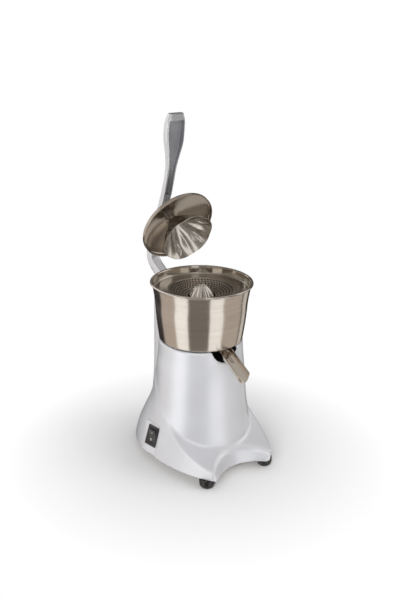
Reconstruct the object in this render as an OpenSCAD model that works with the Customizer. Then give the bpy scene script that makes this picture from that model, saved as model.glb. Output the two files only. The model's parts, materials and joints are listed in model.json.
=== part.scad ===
// Lever press citrus juicer. Millimetres. The drive axis is the Z axis, the floor is Z = 0,
// the front is -Y. The lever stands raised, as at rest.

/* [Juice bowl] */
// Outer diameter of the rolled rim
rim_d = 170; // [160:1:176]
// Height of the bowl from floor to rim
bowl_h = 99; // [90:1:110]
// Outer diameter of the bowl at its floor
bowl_floor_d = 140; // [132:1:144]
// Sheet thickness of the bowl
bowl_t = 1.2; // [1:0.1:2]
// Diameter of the rolled bead
bead_d = 4.4; // [3.6:0.2:5.2]

/* [Strainer and reamer] */
// Depth of the strainer flange below the rim
strainer_depth = 15; // [12:0.5:18]
// Radius of the ring where the perforated dish starts
dish_ring_r = 56; // [52:1:60]
// Slope of the perforated dish in degrees
dish_slope = 20; // [16:1:24]
// Depth of the reamer tip below the rim
reamer_depth = 4.5; // [3:0.5:8]
// Radius of the reamer at its foot
reamer_r = 21; // [18:0.5:22]
// Height of the ribbed cone
reamer_h = 21; // [18:0.5:22]
// Number of ribs on the reamer
reamer_ribs = 8; // [6:1:12]

/* [Housing] */
// Height of the rubber feet
foot_h = 15; // [12:1:18]
// Height of the housing top above the floor
body_top = 213; // [200:1:225]
// Radius of the column at its top
column_r = 70.5; // [68:0.5:72]
// Half width of the base
base_half_w = 98.5; // [92:0.5:104]
// Length of the base ahead of its widest place
base_front = 172; // [160:1:184]
// Length of the base behind its widest place
base_rear = 116; // [110:1:122]
// Distance of the leg tips ahead of the drive axis
leg_reach = 126; // [120:1:132]
// Wall of the housing
wall = 3.5; // [3:0.1:5]
// Width of the tower behind the bowl
tower_w = 40; // [38:1:46]
// Depth of the tower behind the pivot
tower_depth = 27.3; // [25:0.1:32]

/* [Lever] */
// Distance of the pivot behind the bowl rim
pivot_back = 8.7; // [8:0.1:11]
// Depth of the pivot below the bowl rim
pivot_drop = 34.3; // [32:0.1:37]
// Swing of the lever in degrees
lever_swing = 50.9; // [48:0.1:53]
// Length of the arm above the pivot, raised
arm_h = 295; // [280:1:310]
// Half width of the grip
grip_half_w = 17.5; // [15:0.5:20]
// Half width of the arm at the pivot
arm_half_w = 9; // [8:0.5:10]
// Diameter of the pivot pin
pivot_pin_d = 8; // [6:0.5:9]

/* [Press cup] */
// Outer diameter of the splash dish
splash_d = 131.5; // [126:0.5:138]
// Depth of the splash dish
splash_depth = 22; // [18:0.5:24]
// Tip of the cup from upright at rest, in degrees
cup_tilt = 63.6; // [62:0.1:66]
// Height of the dish rim above the bowl rim with the lever down
cup_gap = 16; // [16:0.5:20]
// Height of the cup pin above the dish rim
cup_pin_h = 36; // [34:0.5:38]
// Radius of the bell at its mouth
bell_r = 44; // [40:0.5:45]
// Length of the bell below the dish rim
bell_drop = 34.8; // [32:0.2:36]
// Number of lobes on the bell
bell_lobes = 6; // [5:1:8]
// Sheet thickness of dish and bell
cup_t = 1.2; // [1:0.1:1.6]

/* [Spout] */
// Width of the open spout
spout_w = 25; // [22:0.5:28]
// Reach of the spout ahead of the drive axis
spout_reach = 123; // [116:1:128]
// Fall of the spout in degrees
spout_fall = 28; // [24:1:34]

/* [Hidden] */
$fn = 96;

// Shared small sizes
cut = 1;            // overrun of every cut
fit = 0.3;          // gap between pieces that are laid together
run = 0.05;         // radial gap of a running fit
press = 0.02;       // radial gap of a fixed fit
paint = "#c9cbd0";
steel = "#b9b0a4";
cast = "#aeb1b6";
black = "#1b1b1d";

// Heights of the stack on the drive axis
base_z = foot_h;
seat_gap = 1;       // gap that the seat ring holds under the bowl
bowl_z = body_top + seat_gap;
rim_z = bowl_z + bowl_h;
rim_r = rim_d / 2;
bead_r = bead_d / 2;
floor_r = bowl_floor_d / 2;

// Housing forms
base_mid = 15;          // place of the widest section behind the axis
skirt_top = 150;        // height where the skirt has run into the column
skirt_top_w = 72;
skirt_top_rear = 60;
skirt_front_lean = 0.7; // growth of the front length per millimetre of height
skirt_flare = 1.4;
skirt_rear_flare = 1.1;
skirt_points = 48;
skirt_levels = 14;
column_thicker = 1;     // wall of the column beyond that of the skirt
top_plate_t = 6;
leg_tip_z = 32;         // height of a leg at its tip
ridge_low = [-85, 46];
ridge_high = [-40, 62];
ridge_end = [0, 104];
ridge_steps = 12;
scallop_y = -170;
scallop_r = 68;
scallop_lean = 0.27;
notch_r = 25;           // round notch in the column's front for the spout
notch_lift = 4.5;       // height of its centre above the housing top
notch_back = 34;        // where it ends ahead of the axis
seat_recess = 2.5;
seat_recess_in = 5;      // top face left round the recess
seat_recess_r = column_r - seat_recess_in;

// Column profile, radius over height, as shares of the column's radius and height
column_shares = [[1, 1], [1.02, 0.88], [1.058, 0.765], [1.102, 0.58], [1.135, 0.455],
    [1.172, 0.37], [1.205, 0.28], [1.24, 0.2], [1.28, 0.14]];

// Tower
tower_half = tower_w / 2;
pivot_y = rim_r + pivot_back;
pivot_z = rim_z - pivot_drop;
tower_back = pivot_y + tower_depth;
tower_ring_shares = [0, 0.11, 0.26, 0.44, 0.67, 1];
tower_corner = 11;
tower_inner = 50;
tower_foot_back = 9;
tower_foot_w = 14;
tower_points = 9;
tower_top_r = 13.5;
tower_back_r = 10;
tower_back_drop = 11;
bowl_room = 2;          // gap between bowl and tower
slot_w = 2 * arm_half_w + 2 * fit;

// Lever and cup places, closed and at rest, in the YZ plane
hinge_closed = [0, rim_z + cup_gap + cup_pin_h];
pivot = [pivot_y, pivot_z];
function open_by(p, a) = [p[0] * cos(a) + p[1] * sin(a), -p[0] * sin(a) + p[1] * cos(a)];
hinge_rel = open_by(hinge_closed - pivot, lever_swing);
hinge = pivot + hinge_rel;

// Arm stations from the pivot: back and up as shares of arm_h, half width and thickness in shares
// of the grip's half width
arm_shares = [
    [0.016, 0.009, 0.514, 1.03], [0.075, 0.044, 0.514, 1.03], [0.139, 0.081, 0.514, 1.02],
    [0.172, 0.112, 0.514, 1], [0.183, 0.145, 0.514, 0.95], [0.172, 0.184, 0.509, 0.89],
    [0.146, 0.25, 0.5, 0.82], [0.112, 0.34, 0.491, 0.72], [0.08, 0.432, 0.486, 0.65],
    [0.038, 0.538, 0.486, 0.58], [0.009, 0.632, 0.486, 0.55], [0, 0.668, 0.497, 0.54],
    [-0.009, 0.706, 0.543, 0.54], [-0.019, 0.75, 0.657, 0.56], [-0.028, 0.798, 0.8, 0.7],
    [-0.033, 0.842, 0.94, 0.79], [-0.036, 0.886, 1, 0.8], [-0.041, 0.93, 1, 0.76],
    [-0.048, 0.965, 0.95, 0.66], [-0.055, 1, 0.78, 0.46]
];
hinge_share = 0.431;     // height of the cup's hinge in the same shares
arm_ring_points = 20;
arm_corner = 0.34;       // roundness of the arm's section
channel_first = 9;       // first and last arm stations of the open channel
channel_last = 18;
channel_wall = 2.8;
channel_back = 3.6;
channel_corner = 1.5;
arm_boss_r = 11;
lug_r = 6.5;
yoke_w = 10.4;
cup_pin_d = 6;

// A solid through a list of closed rings of equal count, given from the low end up, each
// counter-clockwise seen from the high end
module loft(rings) {
    n = len(rings[0]);
    m = len(rings);
    points = [for (r = rings) for (p = r) p];
    sides = [for (k = [0 : m - 2]) for (i = [0 : n - 1])
        let (a = k * n + i, b = k * n + (i + 1) % n)
        each [[a, a + n, b + n], [a, b + n, b]]];
    low = [for (i = [0 : n - 1]) i];
    high = [for (i = [n - 1 : -1 : 0]) (m - 1) * n + i];
    polyhedron(points, concat([low, high], sides), convexity = 6);
}

function bezier(a, b, c, d, t) =
    a * pow(1 - t, 3) + b * (3 * t * pow(1 - t, 2)) + c * (3 * t * t * (1 - t)) + d * pow(t, 3);

// Radius of the column at a height
column_heights = [for (s = column_shares) base_z + (body_top - base_z) * s[1]];
function column_at(z) = lookup(z, [for (i = [len(column_shares) - 1 : -1 : 0])
    [column_heights[i], column_r * column_shares[i][0]]]);

// Base skirt: two half ellipses that meet at the widest place
function skirt_u(z) = (z - base_z) / (skirt_top - base_z);
function skirt_w(z) = skirt_top_w + (base_half_w - skirt_top_w) * pow(1 - skirt_u(z), skirt_flare);
function skirt_rear(z) = skirt_top_rear + (base_rear - skirt_top_rear)
    * pow((1 + cos(180 * skirt_u(z))) / 2, skirt_rear_flare);
function skirt_front(z) = base_front + skirt_front_lean * (z - base_z);
function skirt_ring(z, inset = 0) = [for (i = [0 : skirt_points - 1])
    let (a = 360 * i / skirt_points,
        l = (sin(a) > 0 ? skirt_rear(z) : skirt_front(z)) - inset)
    [(skirt_w(z) - inset) * cos(a), base_mid + l * sin(a), z]];

module skirt(inset = 0, low = base_z, high = skirt_top) {
    loft([for (k = [0 : skirt_levels]) skirt_ring(low + (high - low) * k / skirt_levels, inset)]);
}

// Side view of the base: leg tip, ridge and rear
ridge = [for (k = [0 : ridge_steps])
    bezier([-leg_reach, leg_tip_z], ridge_low, ridge_high, ridge_end, k / ridge_steps)];
ridge_rise = (ridge_end[1] - ridge_high[1]) / (ridge_end[0] - ridge_high[0]);
module ridge_view(inset = 0) {
    over = (skirt_top - ridge_end[1]) / ridge_rise;
    translate([0, 0, -inset]) rotate([90, 0, 90])
        linear_extrude(4 * base_half_w, center = true)
            polygon(concat(
                [[2 * base_rear, base_z - cut], [-leg_reach + inset, base_z - cut]],
                ridge,
                [ridge_end + [over, skirt_top - ridge_end[1]] * 1.1, [2 * base_rear, skirt_top * 1.1]]));
}

module column(inset = 0, low = base_z, high = body_top) {
    rotate_extrude()
        polygon(concat([[0, low], [column_at(low) - inset, low]],
            [for (i = [len(column_heights) - 1 : -1 : 0])
                if (column_heights[i] > low && column_heights[i] < high)
                    [column_at(column_heights[i]) - inset, column_heights[i]]],
            [[column_at(high) - inset, high], [0, high]]));
}

// Tower: a rounded bar that spreads into the base behind the column
tower_high = pivot_z + 2 * tower_top_r;
tower_heights = concat([for (s = tower_ring_shares) base_z + (skirt_top - base_z) * s], [body_top]);
function tower_spread(z) = z > skirt_top ? 0 : pow(1 - skirt_u(z), 2);
function tower_ring(z) =
    let (w = tower_half + tower_foot_w * tower_spread(z),
        back = tower_back + tower_foot_back * tower_spread(z),
        c = tower_corner + tower_foot_w * tower_spread(z))
    concat([[w, tower_inner, z]],
        [for (i = [0 : tower_points - 1]) let (a = 90 * i / (tower_points - 1))
            [w - c + c * cos(a), back - c + c * sin(a), z]],
        [for (i = [0 : tower_points - 1]) let (a = 90 + 90 * i / (tower_points - 1))
            [c - w + c * cos(a), back - c + c * sin(a), z]],
        [[-w, tower_inner, z]]);

module tower_side() {
    rotate([90, 0, 90]) linear_extrude(2 * tower_w, center = true) {
        translate(pivot) circle(tower_top_r);
        translate([tower_back - tower_back_r, pivot_z - tower_back_drop]) circle(tower_back_r);
        polygon([pivot + [0, tower_top_r],
            [tower_back - tower_back_r, pivot_z - tower_back_drop + tower_back_r],
            [tower_back - tower_back_r, 0], [pivot_y, 0]]);
        translate([0, -cut]) square([tower_back * 2, pivot_z - tower_back_drop + cut]);
    }
}

// Room that the arm sweeps between the ears, open to the top and the back
arm_low_angle = atan2(arm_shares[2][1] - arm_shares[1][1], arm_shares[2][0] - arm_shares[1][0]);
arm_low_t = arm_shares[1][3] * grip_half_w;
module arm_slot() {
    r = arm_boss_r + fit;
    rotate([90, 0, 90]) linear_extrude(slot_w, center = true) translate(pivot) {
        circle(r);
        rotate(arm_low_angle) translate([0, -arm_low_t / 2 - fit]) square([3 * tower_w, 2 * tower_w]);
        translate([-2 * r, -r]) square([2 * r, 4 * r]);
        polygon([[0, -r], [r, 0], [r, r], [0, r]]);
    }
}

// Motor
motor_boss_at = 33;
motor_boss_r = 7;
motor_bolt_d = 4;
motor_top = 188;         // face of the bosses that the motor hangs on
bell_plate_t = 6;
stack_low = 118;
stack_high = 172;
stack_side = 84;
stack_r = 54;
stack_bore_r = 26;
motor_low = 100;
bearing_r = 11;
bearing_t = 7;
housing_r = 15;
winding_r = 38;
winding_h = 8;
air_gap = 0.4;
bolt_head_h = 3;
bolt_head_r = 3.5;
bolt_short = 2;          // room above the end of each bolt
housing_proud = 4;       // bearing housings beyond the end bells' plates
lower_proud = 6;
bearing_edge = 2;        // shoulder that holds a bearing
winding_gap = 2;
end_ring = 4;
blade_t = 2;
shoulder = 1;            // depth of a bearing in from its end bell's face
seal_r = 11;
shaft_r = 4;
shaft_low = 76;
shaft_top_depth = 13;    // shaft end below the bowl rim
fan_r = 35;
fan_top = 94;
fan_h = 12;
fan_disc_t = 2;
fan_hub_r = 9;
fan_blades = 9;
capacitor_r = 17.5;
capacitor_len = 60;
capacitor_y = 48;
capacitor_sink = 0.5;    // how far the can dips into its clip's foot
tab_r = 2;
tab_len = 5;
tab_y = 6;
clip_w = 12;
clip_t = 1.2;
clip_foot_w = 52;
clip_foot_t = 2;
terminal_size = [34, 14, 13];
terminal_y = 96;
terminal_ways = 3;
terminal_screw_r = 3;
terminal_wire_r = 2;
terminal_wire_z = 5;

// Feet and base plate
foot_r = 13;
foot_profile = [[0.62, 0], [0.8, 0.08], [0.93, 0.27], [1, 0.6], [0.96, 1]];
foot_x_share = 0.616;    // place of the feet as shares of the base's half width and lengths
front_foot_share = 0.845;
rear_foot_share = 0.62;
foot_ys = [-leg_reach * front_foot_share, base_mid + base_rear * rear_foot_share];
foot_places = [for (x = [-1, 1]) for (y = foot_ys) [x * base_half_w * foot_x_share, y]];
foot_boss_r = 8;
foot_boss_top = 62;
foot_screw_d = 5;
foot_screw_top = 31;
foot_sink = 5;           // depth of the recess for the screw head
screw_head_r = 4.6;
screw_head_h = 3;
plate_t = 2.5;
plate_gap = 1;           // gap between the base plate and the walls round it

// Switch pocket, a flat let into the left flank
switch_w = 25;
switch_h = 34;
switch_z = 44.6;
switch_y = 15.2;
switch_sink = 3.2;       // depth of the pocket's floor under the skirt's widest line
switch_lean = 19;
switch_turn = 8;
switch_pocket_side = 6;
switch_pocket_top = 5;
switch_at = [switch_sink - skirt_w(switch_z), switch_y, switch_z];
module at_switch() {
    translate(switch_at) rotate([0, 0, switch_turn]) rotate([0, switch_lean - 90, 0]) children();
}
switch_body_w = 22;
switch_body_h = 30;
switch_body_d = 20;
module switch_pocket_wall() {
    intersection() {
        base_form();
        at_switch() translate([-switch_h, -switch_w, -wall]) cube([2 * switch_h, 2 * switch_w, wall]);
        translate([0, 0, base_z + plate_t + skirt_top / 2])
            cube([4 * base_half_w, 4 * base_half_w, skirt_top], center = true);
    }
}

module switch_pocket() {
    long = 3 * switch_h;
    at_switch() {
        translate([-long, -switch_w / 2 - switch_pocket_side, 0])
            cube([long + switch_h / 2 + switch_pocket_top, long, 2 * switch_w]);
        translate([-switch_body_h / 2 - fit, -switch_body_w / 2 - fit, -2 * switch_body_d])
            cube([switch_body_h + 2 * fit, switch_body_w + 2 * fit, 2 * switch_body_d + cut]);
    }
}

gland_z = 34;
gland_r = 6;
gland_len = 16;
gland_seat = 1.4;
gland_wall_y = base_mid + skirt_rear(gland_z) - gland_seat;
gland_flange_r = 8.5;
gland_flange_t = 3;
gland_nut_t = 2;
gland_taper = 1;

// Notch for the spout; grow it for the trough that closes it inside
module notch(grow = 0) {
    translate([0, grow - notch_back, body_top + notch_lift]) rotate([90, 0, 0])
        cylinder(r = notch_r + grow, h = 2 * column_r);
}

module scallop(grow = 0) {
    translate([0, scallop_y, base_z - cut])
        cylinder(r1 = scallop_r + grow - cut * scallop_lean,
            r2 = scallop_r + grow + skirt_top * scallop_lean, h = skirt_top + cut);
}

module base_form() {
    difference() {
        intersection() {
            skirt();
            ridge_view();
        }
        scallop();
    }
}

module foot_bosses() {
    intersection() {
        for (p = foot_places)
            translate([p[0], p[1], base_z + plate_t])
                cylinder(r = foot_boss_r, h = foot_boss_top - base_z - plate_t);
        base_form();
    }
}

module body_casting() {
    color(paint) difference() {
        union() {
            difference() {
                union() {
                    base_form();
                    column(0, base_z + top_plate_t);
                    loft([for (z = tower_heights) tower_ring(z)]);
                }
                // inside of the column and of the skirt
                column(wall + column_thicker, base_z - cut, body_top - top_plate_t);
                difference() {
                    intersection() {
                        skirt(wall, base_z - cut, skirt_top - 2 * wall);
                        ridge_view(wall);
                    }
                    scallop(wall);
                }
            }
            intersection() {
                column(0, base_z + top_plate_t);
                notch(wall);
            }
            for (x = [-1, 1]) for (y = [-1, 1])
                translate([x * motor_boss_at, y * motor_boss_at, motor_top])
                    cylinder(r = motor_boss_r, h = body_top - top_plate_t + cut - motor_top);
            foot_bosses();
            switch_pocket_wall();
        }
        notch();
        translate([0, 0, body_top - seat_recess]) cylinder(r = seat_recess_r, h = 2 * seat_recess);
        translate([0, 0, motor_top + cut]) cylinder(r = seal_r, h = body_top - motor_top);
        for (x = [-1, 1]) for (y = [-1, 1])
            translate([x * motor_boss_at, y * motor_boss_at, motor_top - cut])
                cylinder(d = motor_bolt_d + 2 * press, h = 2 * motor_boss_r + cut);
        for (p = foot_places) translate([p[0], p[1], base_z])
            cylinder(d = foot_screw_d + 2 * press, h = foot_screw_top + cut - base_z);
        switch_pocket();
        translate([0, gland_wall_y - gland_len, gland_z]) rotate([-90, 0, 0])
            cylinder(r = gland_r, h = 2 * gland_len);
        translate([0, gland_wall_y, gland_z]) rotate([-90, 0, 0])
            cylinder(r = gland_flange_r + cut, h = gland_len);
    }
}

// Head of the tower, which stands beside the bowl and holds the lever's pin
module pivot_post() {
    color(paint) difference() {
        intersection() {
            loft([for (z = [body_top, tower_high]) tower_ring(z)]);
            tower_side();
        }
        translate([0, 0, body_top - fit]) cylinder(r1 = floor_r + bowl_room,
            r2 = rim_r - bead_d + bowl_room, h = bowl_h);
        arm_slot();
        translate([0, pivot_y, pivot_z]) rotate([0, 90, 0])
            cylinder(d = pivot_pin_d, h = 2 * tower_w, center = true);
    }
}

// Base plate, let into the underside
module plate_view() {
    inset = wall + plate_gap;
    difference() {
        polygon([for (p = skirt_ring(base_z + plate_t, inset)) if (p[1] > inset - leg_reach) [p[0], p[1]]]);
        translate([0, scallop_y]) circle(scallop_r + inset + plate_t * scallop_lean);
    }
}

module base_plate() {
    color(steel) difference() {
        translate([0, 0, base_z]) linear_extrude(plate_t) plate_view();
        for (p = foot_places)
            translate([p[0], p[1], base_z - cut])
                cylinder(d = foot_screw_d + 2 * fit, h = plate_t + 2 * cut);
    }
}

module rubber_feet() {
    color(black) for (p = foot_places) translate([p[0], p[1], 0]) difference() {
        rotate_extrude() polygon(concat([[0, 0]],
            [for (q = foot_profile) [foot_r * q[0], foot_h * q[1]]], [[0, foot_h]]));
        translate([0, 0, -cut]) cylinder(r = screw_head_r + fit, h = foot_sink + cut);
        translate([0, 0, -cut]) cylinder(d = foot_screw_d + 2 * fit, h = foot_h + 2 * cut);
    }
}

module foot_screws() {
    color(steel) for (p = foot_places) translate([p[0], p[1], foot_sink]) {
        translate([0, 0, -screw_head_h]) cylinder(r = screw_head_r, h = screw_head_h);
        cylinder(d = foot_screw_d, h = foot_screw_top - foot_sink);
    }
}

// Bowl: depth below the rim as a share of the height, outer radius as a share of the way from
// the floor's radius to the rim's
bowl_shares = [[0.111, 0.7], [0.141, 0.666], [0.253, 0.541], [0.354, 0.456],
    [0.505, 0.382], [0.677, 0.275], [0.859, 0.122], [0.97, 0.014], [0.992, -0.043]];
bead_grip = [0.695, 0.5625];  // where the wall meets the bead, in and down from the rim, in bead widths
function bowl_radius(share) = floor_r + (rim_r - floor_r) * share;
bowl_floor_corner = 2;
chimney_r = 11.5;
chimney_wall = 1.5;
chimney_top_depth = 40;
outlet_r = 6.5;
outlet_y = -60;
bowl_places = concat([[bead_d * bead_grip[1], rim_r - bead_d * bead_grip[0]]],
    [for (s = bowl_shares) [bowl_h * s[0], bowl_radius(s[1])]]);
function bowl_wall(depth) = lookup(depth, bowl_places);
bowl_out = [for (i = [len(bowl_places) - 1 : -1 : 0]) [bowl_places[i][1], rim_z - bowl_places[i][0]]];
bowl_in = [for (i = [0 : len(bowl_out) - 2])
    [bowl_out[len(bowl_out) - 1 - i][0] - bowl_t, bowl_out[len(bowl_out) - 1 - i][1]]];
module juice_bowl() {
    chimney_top = rim_z - chimney_top_depth;
    corner = bowl_out[0][0] - bowl_floor_corner;
    color(steel) difference() {
        union() {
            rotate_extrude() polygon(concat(
                [[chimney_r - chimney_wall, bowl_z], [corner, bowl_z]], bowl_out, bowl_in,
                [[corner, bowl_z + bowl_t], [chimney_r, bowl_z + bowl_t],
                [chimney_r, chimney_top], [chimney_r - chimney_wall, chimney_top]]));
            rotate_extrude() translate([rim_r - bead_r, rim_z - bead_r]) circle(bead_r);
        }
        translate([0, outlet_y, bowl_z - cut]) cylinder(r = outlet_r, h = bowl_t + 2 * cut);
    }
}

// Spout: a half pipe that falls to the front, closed by the underside of the bowl
spout_r = spout_w / 2;
spout_t = 1.2;
spout_tip_z = 184.3;
spout_len = 105;
spout_corner = 11;
module spout_view() {
    translate([-spout_r, spout_corner]) square([spout_w, spout_len]);
    translate([spout_corner - spout_r, 0]) square([spout_w - 2 * spout_corner, spout_len]);
    for (x = [-1, 1]) translate([x * (spout_r - spout_corner), spout_corner]) circle(spout_corner);
}

module bowl_spout() {
    color(steel) intersection() {
        translate([0, -spout_reach, spout_tip_z]) rotate([spout_fall, 0, 0]) intersection() {
            difference() {
                rotate([-90, 0, 0]) cylinder(r = spout_r, h = spout_len);
                translate([0, -cut, 0]) rotate([-90, 0, 0])
                    cylinder(r = spout_r - spout_t, h = spout_len + 2 * cut);
                translate([-spout_w, -spout_w, 0]) cube([2 * spout_w, 2 * spout_len, spout_w]);
            }
            translate([0, 0, -spout_w]) linear_extrude(2 * spout_w) spout_view();
        }
        translate([-spout_w, -2 * spout_reach, 0]) cube([2 * spout_w, 2 * spout_reach, bowl_z]);
    }
}

// Strainer: flange on the bowl wall, raised ring, perforated dish
strainer_t = 1;
strainer_hole_r = 23;
strainer_lip = 3;
ring_foot = 3;           // half widths of the raised ring at its foot and top
ring_top = 1;
strainer_rows = [[30, 18], [37, 24], [44, 28], [51, 32]];
perforation_d = 2.6;
module strainer() {
    z = rim_z - strainer_depth;
    low_r = bowl_wall(strainer_depth) - bowl_t - run;
    high_r = bowl_wall(strainer_depth - strainer_lip) - bowl_t - run;
    fall = tan(dish_slope);
    top = [[high_r - strainer_t, z + strainer_lip], [low_r - strainer_t, z + strainer_t],
        [dish_ring_r + ring_foot, z + strainer_t], [dish_ring_r + ring_top, z + 2 * strainer_t],
        [dish_ring_r - ring_top, z + 2 * strainer_t], [dish_ring_r - ring_foot, z + strainer_t / 2],
        [strainer_hole_r, z + strainer_t / 2 - (dish_ring_r - ring_foot - strainer_hole_r) * fall]];
    under = concat([[high_r, z + strainer_lip], [low_r, z]],
        [for (i = [2 : len(top) - 1]) top[i] - [0, strainer_t]]);
    color(steel) difference() {
        rotate_extrude() polygon(concat(top, [for (i = [len(under) - 1 : -1 : 0]) under[i]]));
        for (row = strainer_rows) for (i = [0 : row[1] - 1])
            rotate([0, 0, 360 * i / row[1]])
                translate([row[0], 0, z - strainer_depth])
                    cylinder(d = perforation_d, h = strainer_depth + 2 * strainer_t, $fn = 16);
    }
}

// Reamer: a ribbed cone on a hollow hub that hangs over the bowl's chimney
rib_shares = [1, 0.93, 0.885, 0.862, 0.855, 0.862, 0.885, 0.93];
reamer_levels = 9;
reamer_tip_r = 1.6;
knob_r = 4.5;            // ball at the tip, and how far it stands out
knob_rise = 0.9;
hub_low_depth = 46;
hub_bore_r = 15.5;
socket_r = 8;
socket_depth = 10;
module reamer() {
    tip_z = rim_z - reamer_depth;
    foot_z = tip_z - reamer_h;
    points = len(rib_shares) * reamer_ribs;
    color(steel) difference() {
        union() {
            loft([for (k = [0 : reamer_levels]) let (u = k / reamer_levels,
                r = reamer_tip_r + (reamer_r - reamer_tip_r) * pow(1 - u, 0.62),
                share = pow(1 - u, 0.35))
                [for (i = [0 : points - 1])
                    let (s = 1 - (1 - rib_shares[i % len(rib_shares)]) * share,
                        a = 360 * i / points)
                    [r * s * cos(a), r * s * sin(a), foot_z + reamer_h * u]]]);
            translate([0, 0, tip_z + knob_rise - knob_r]) sphere(r = knob_r);
            difference() {
                translate([0, 0, rim_z - hub_low_depth])
                    cylinder(r = reamer_r * rib_shares[4] - fit, h = foot_z - rim_z + hub_low_depth + cut);
                translate([0, 0, rim_z - hub_low_depth - cut])
                    cylinder(r = hub_bore_r, h = foot_z - rim_z + hub_low_depth - socket_depth / 2 + cut);
            }
            translate([0, 0, foot_z - socket_depth])
                cylinder(r = socket_r, h = socket_depth + cut);
        }
        translate([0, 0, foot_z - 2 * socket_depth])
            cylinder(r = shaft_r + press, h = rim_z - shaft_top_depth - foot_z + 2 * socket_depth);
    }
}

seat_ring_w = 8;
module seat_ring() {
    color(black) difference() {
        translate([0, 0, body_top - seat_recess])
            cylinder(r = seat_recess_r - press, h = bowl_z - body_top + seat_recess);
        translate([0, 0, body_top - seat_recess - cut])
            cylinder(r = seat_recess_r - seat_ring_w, h = bowl_z);
        notch(fit);
    }
}

module shaft_seal() {
    lip = 2;
    color(black) difference() {
        union() {
            translate([0, 0, body_top - top_plate_t])
                cylinder(r = seal_r - press, h = top_plate_t - seat_recess + cut);
            translate([0, 0, body_top - seat_recess]) cylinder(r = seal_r + lip, h = lip);
        }
        translate([0, 0, motor_top]) cylinder(r = shaft_r + fit, h = body_top);
    }
}

// Rocker switch
bezel_t = 2.2;
rocker_room_w = 16.4;
rocker_room_h = 24;
rocker_r = 11.6;
rocker_tilt = 7;
rocker_pin_r = 1.5;
rocker_pivot = -1;
rocker_edge = 4.6;       // the rocker's outline, from its pivot
rocker_waist = 2.9;
rocker_skirt = 2;
rocker_foot = 7;
rocker_foot_w = 5;
module switch_frame() {
    color(black) at_switch() difference() {
        union() {
            translate([-switch_h / 2, -switch_w / 2, 0]) cube([switch_h, switch_w, bezel_t]);
            translate([-switch_body_h / 2, -switch_body_w / 2, -switch_body_d])
                cube([switch_body_h, switch_body_w, switch_body_d + cut]);
        }
        translate([-rocker_room_h / 2, -rocker_room_w / 2, rocker_pivot - rocker_r - fit])
            cube([rocker_room_h, rocker_room_w, 2 * switch_body_d]);
        translate([0, -switch_body_w / 2 + cut, rocker_pivot]) rotate([-90, 0, 0])
            cylinder(r = rocker_pin_r + run, h = switch_body_w - 2 * cut);
    }
}

module switch_rocker() {
    side = 2 * fit;
    color(black) at_switch() translate([0, 0, rocker_pivot]) rotate([0, -rocker_tilt, 0]) {
        rotate([90, 0, 0]) intersection() {
            cylinder(r = rocker_r, h = rocker_room_w - side, center = true);
            linear_extrude(2 * rocker_room_w, center = true)
                polygon([[-2 * rocker_r, rocker_edge], [-rocker_r, rocker_edge], [0, rocker_waist],
                    [rocker_r, rocker_edge], [2 * rocker_r, rocker_edge], [2 * rocker_r, -rocker_skirt],
                    [rocker_foot_w, -rocker_foot], [-rocker_foot_w, -rocker_foot],
                    [-2 * rocker_r, -rocker_skirt]]);
        }
        rotate([90, 0, 0])
            cylinder(r = rocker_pin_r, h = switch_body_w - 2 * cut - side, center = true);
    }
}

module cable_gland() {
    color(black) translate([0, gland_wall_y, gland_z]) rotate([90, 0, 0]) difference() {
        union() {
            translate([0, 0, -gland_len / 2])
                cylinder(r1 = gland_r - gland_taper, r2 = gland_r, h = gland_len / 2);
            translate([0, 0, -gland_flange_t]) cylinder(r = gland_flange_r, h = gland_flange_t);
            cylinder(r = gland_r - press, h = gland_len / 2 + gland_nut_t / 2);
            translate([0, 0, gland_len / 2 - gland_nut_t / 2])
                cylinder(r = gland_flange_r, h = gland_nut_t);
        }
        translate([0, 0, -gland_len]) cylinder(r = gland_r / 2, h = 2 * gland_len);
    }
}

// Motor
module at_bolts() {
    for (x = [-1, 1]) for (y = [-1, 1])
        translate([x * motor_boss_at, y * motor_boss_at, 0]) children();
}

module stack_plate(low, high) {
    translate([0, 0, low]) linear_extrude(high - low) intersection() {
        square(stack_side, center = true);
        circle(stack_r);
    }
}

module bolt_holes() {
    at_bolts() cylinder(d = motor_bolt_d + fit, h = body_top);
}

module stator_stack() {
    color(cast) difference() {
        stack_plate(stack_low, stack_high);
        cylinder(r = stack_bore_r, h = body_top);
        bolt_holes();
    }
}

module stator_windings() {
    color("#a86a3c") for (z = [stack_low - winding_h, stack_high]) translate([0, 0, z]) difference() {
        cylinder(r = winding_r, h = winding_h);
        translate([0, 0, -cut]) cylinder(r = stack_bore_r + winding_gap, h = winding_h + 2 * cut);
    }
}

module upper_end_bell() {
    housing_h = bell_plate_t + housing_proud;
    color(cast) difference() {
        union() {
            stack_plate(motor_top - bell_plate_t, motor_top);
            translate([0, 0, motor_top - housing_h]) cylinder(r = housing_r, h = housing_h);
            at_bolts() translate([0, 0, stack_high])
                cylinder(r = motor_boss_r - fit, h = motor_top - stack_high - shoulder);
        }
        translate([0, 0, motor_top - shoulder - bearing_t])
            cylinder(r = bearing_r + press, h = 2 * bearing_t);
        cylinder(r = bearing_r - bearing_edge, h = 2 * body_top);
        bolt_holes();
    }
}

module lower_end_bell() {
    housing_h = bell_plate_t + lower_proud;
    color(cast) difference() {
        union() {
            stack_plate(motor_low, motor_low + bell_plate_t);
            translate([0, 0, motor_low]) cylinder(r = housing_r, h = housing_h);
            at_bolts() translate([0, 0, motor_low + shoulder])
                cylinder(r = motor_boss_r - fit, h = stack_low - motor_low - shoulder);
        }
        translate([0, 0, motor_low - cut])
            cylinder(r = bearing_r + press, h = bearing_t + shoulder + cut);
        cylinder(r = bearing_r - bearing_edge, h = 2 * body_top);
        bolt_holes();
    }
}

module bearing(low) {
    translate([0, 0, low]) difference() {
        cylinder(r = bearing_r, h = bearing_t);
        translate([0, 0, -cut]) cylinder(r = shaft_r + run, h = bearing_t + 2 * cut);
    }
}

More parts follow.
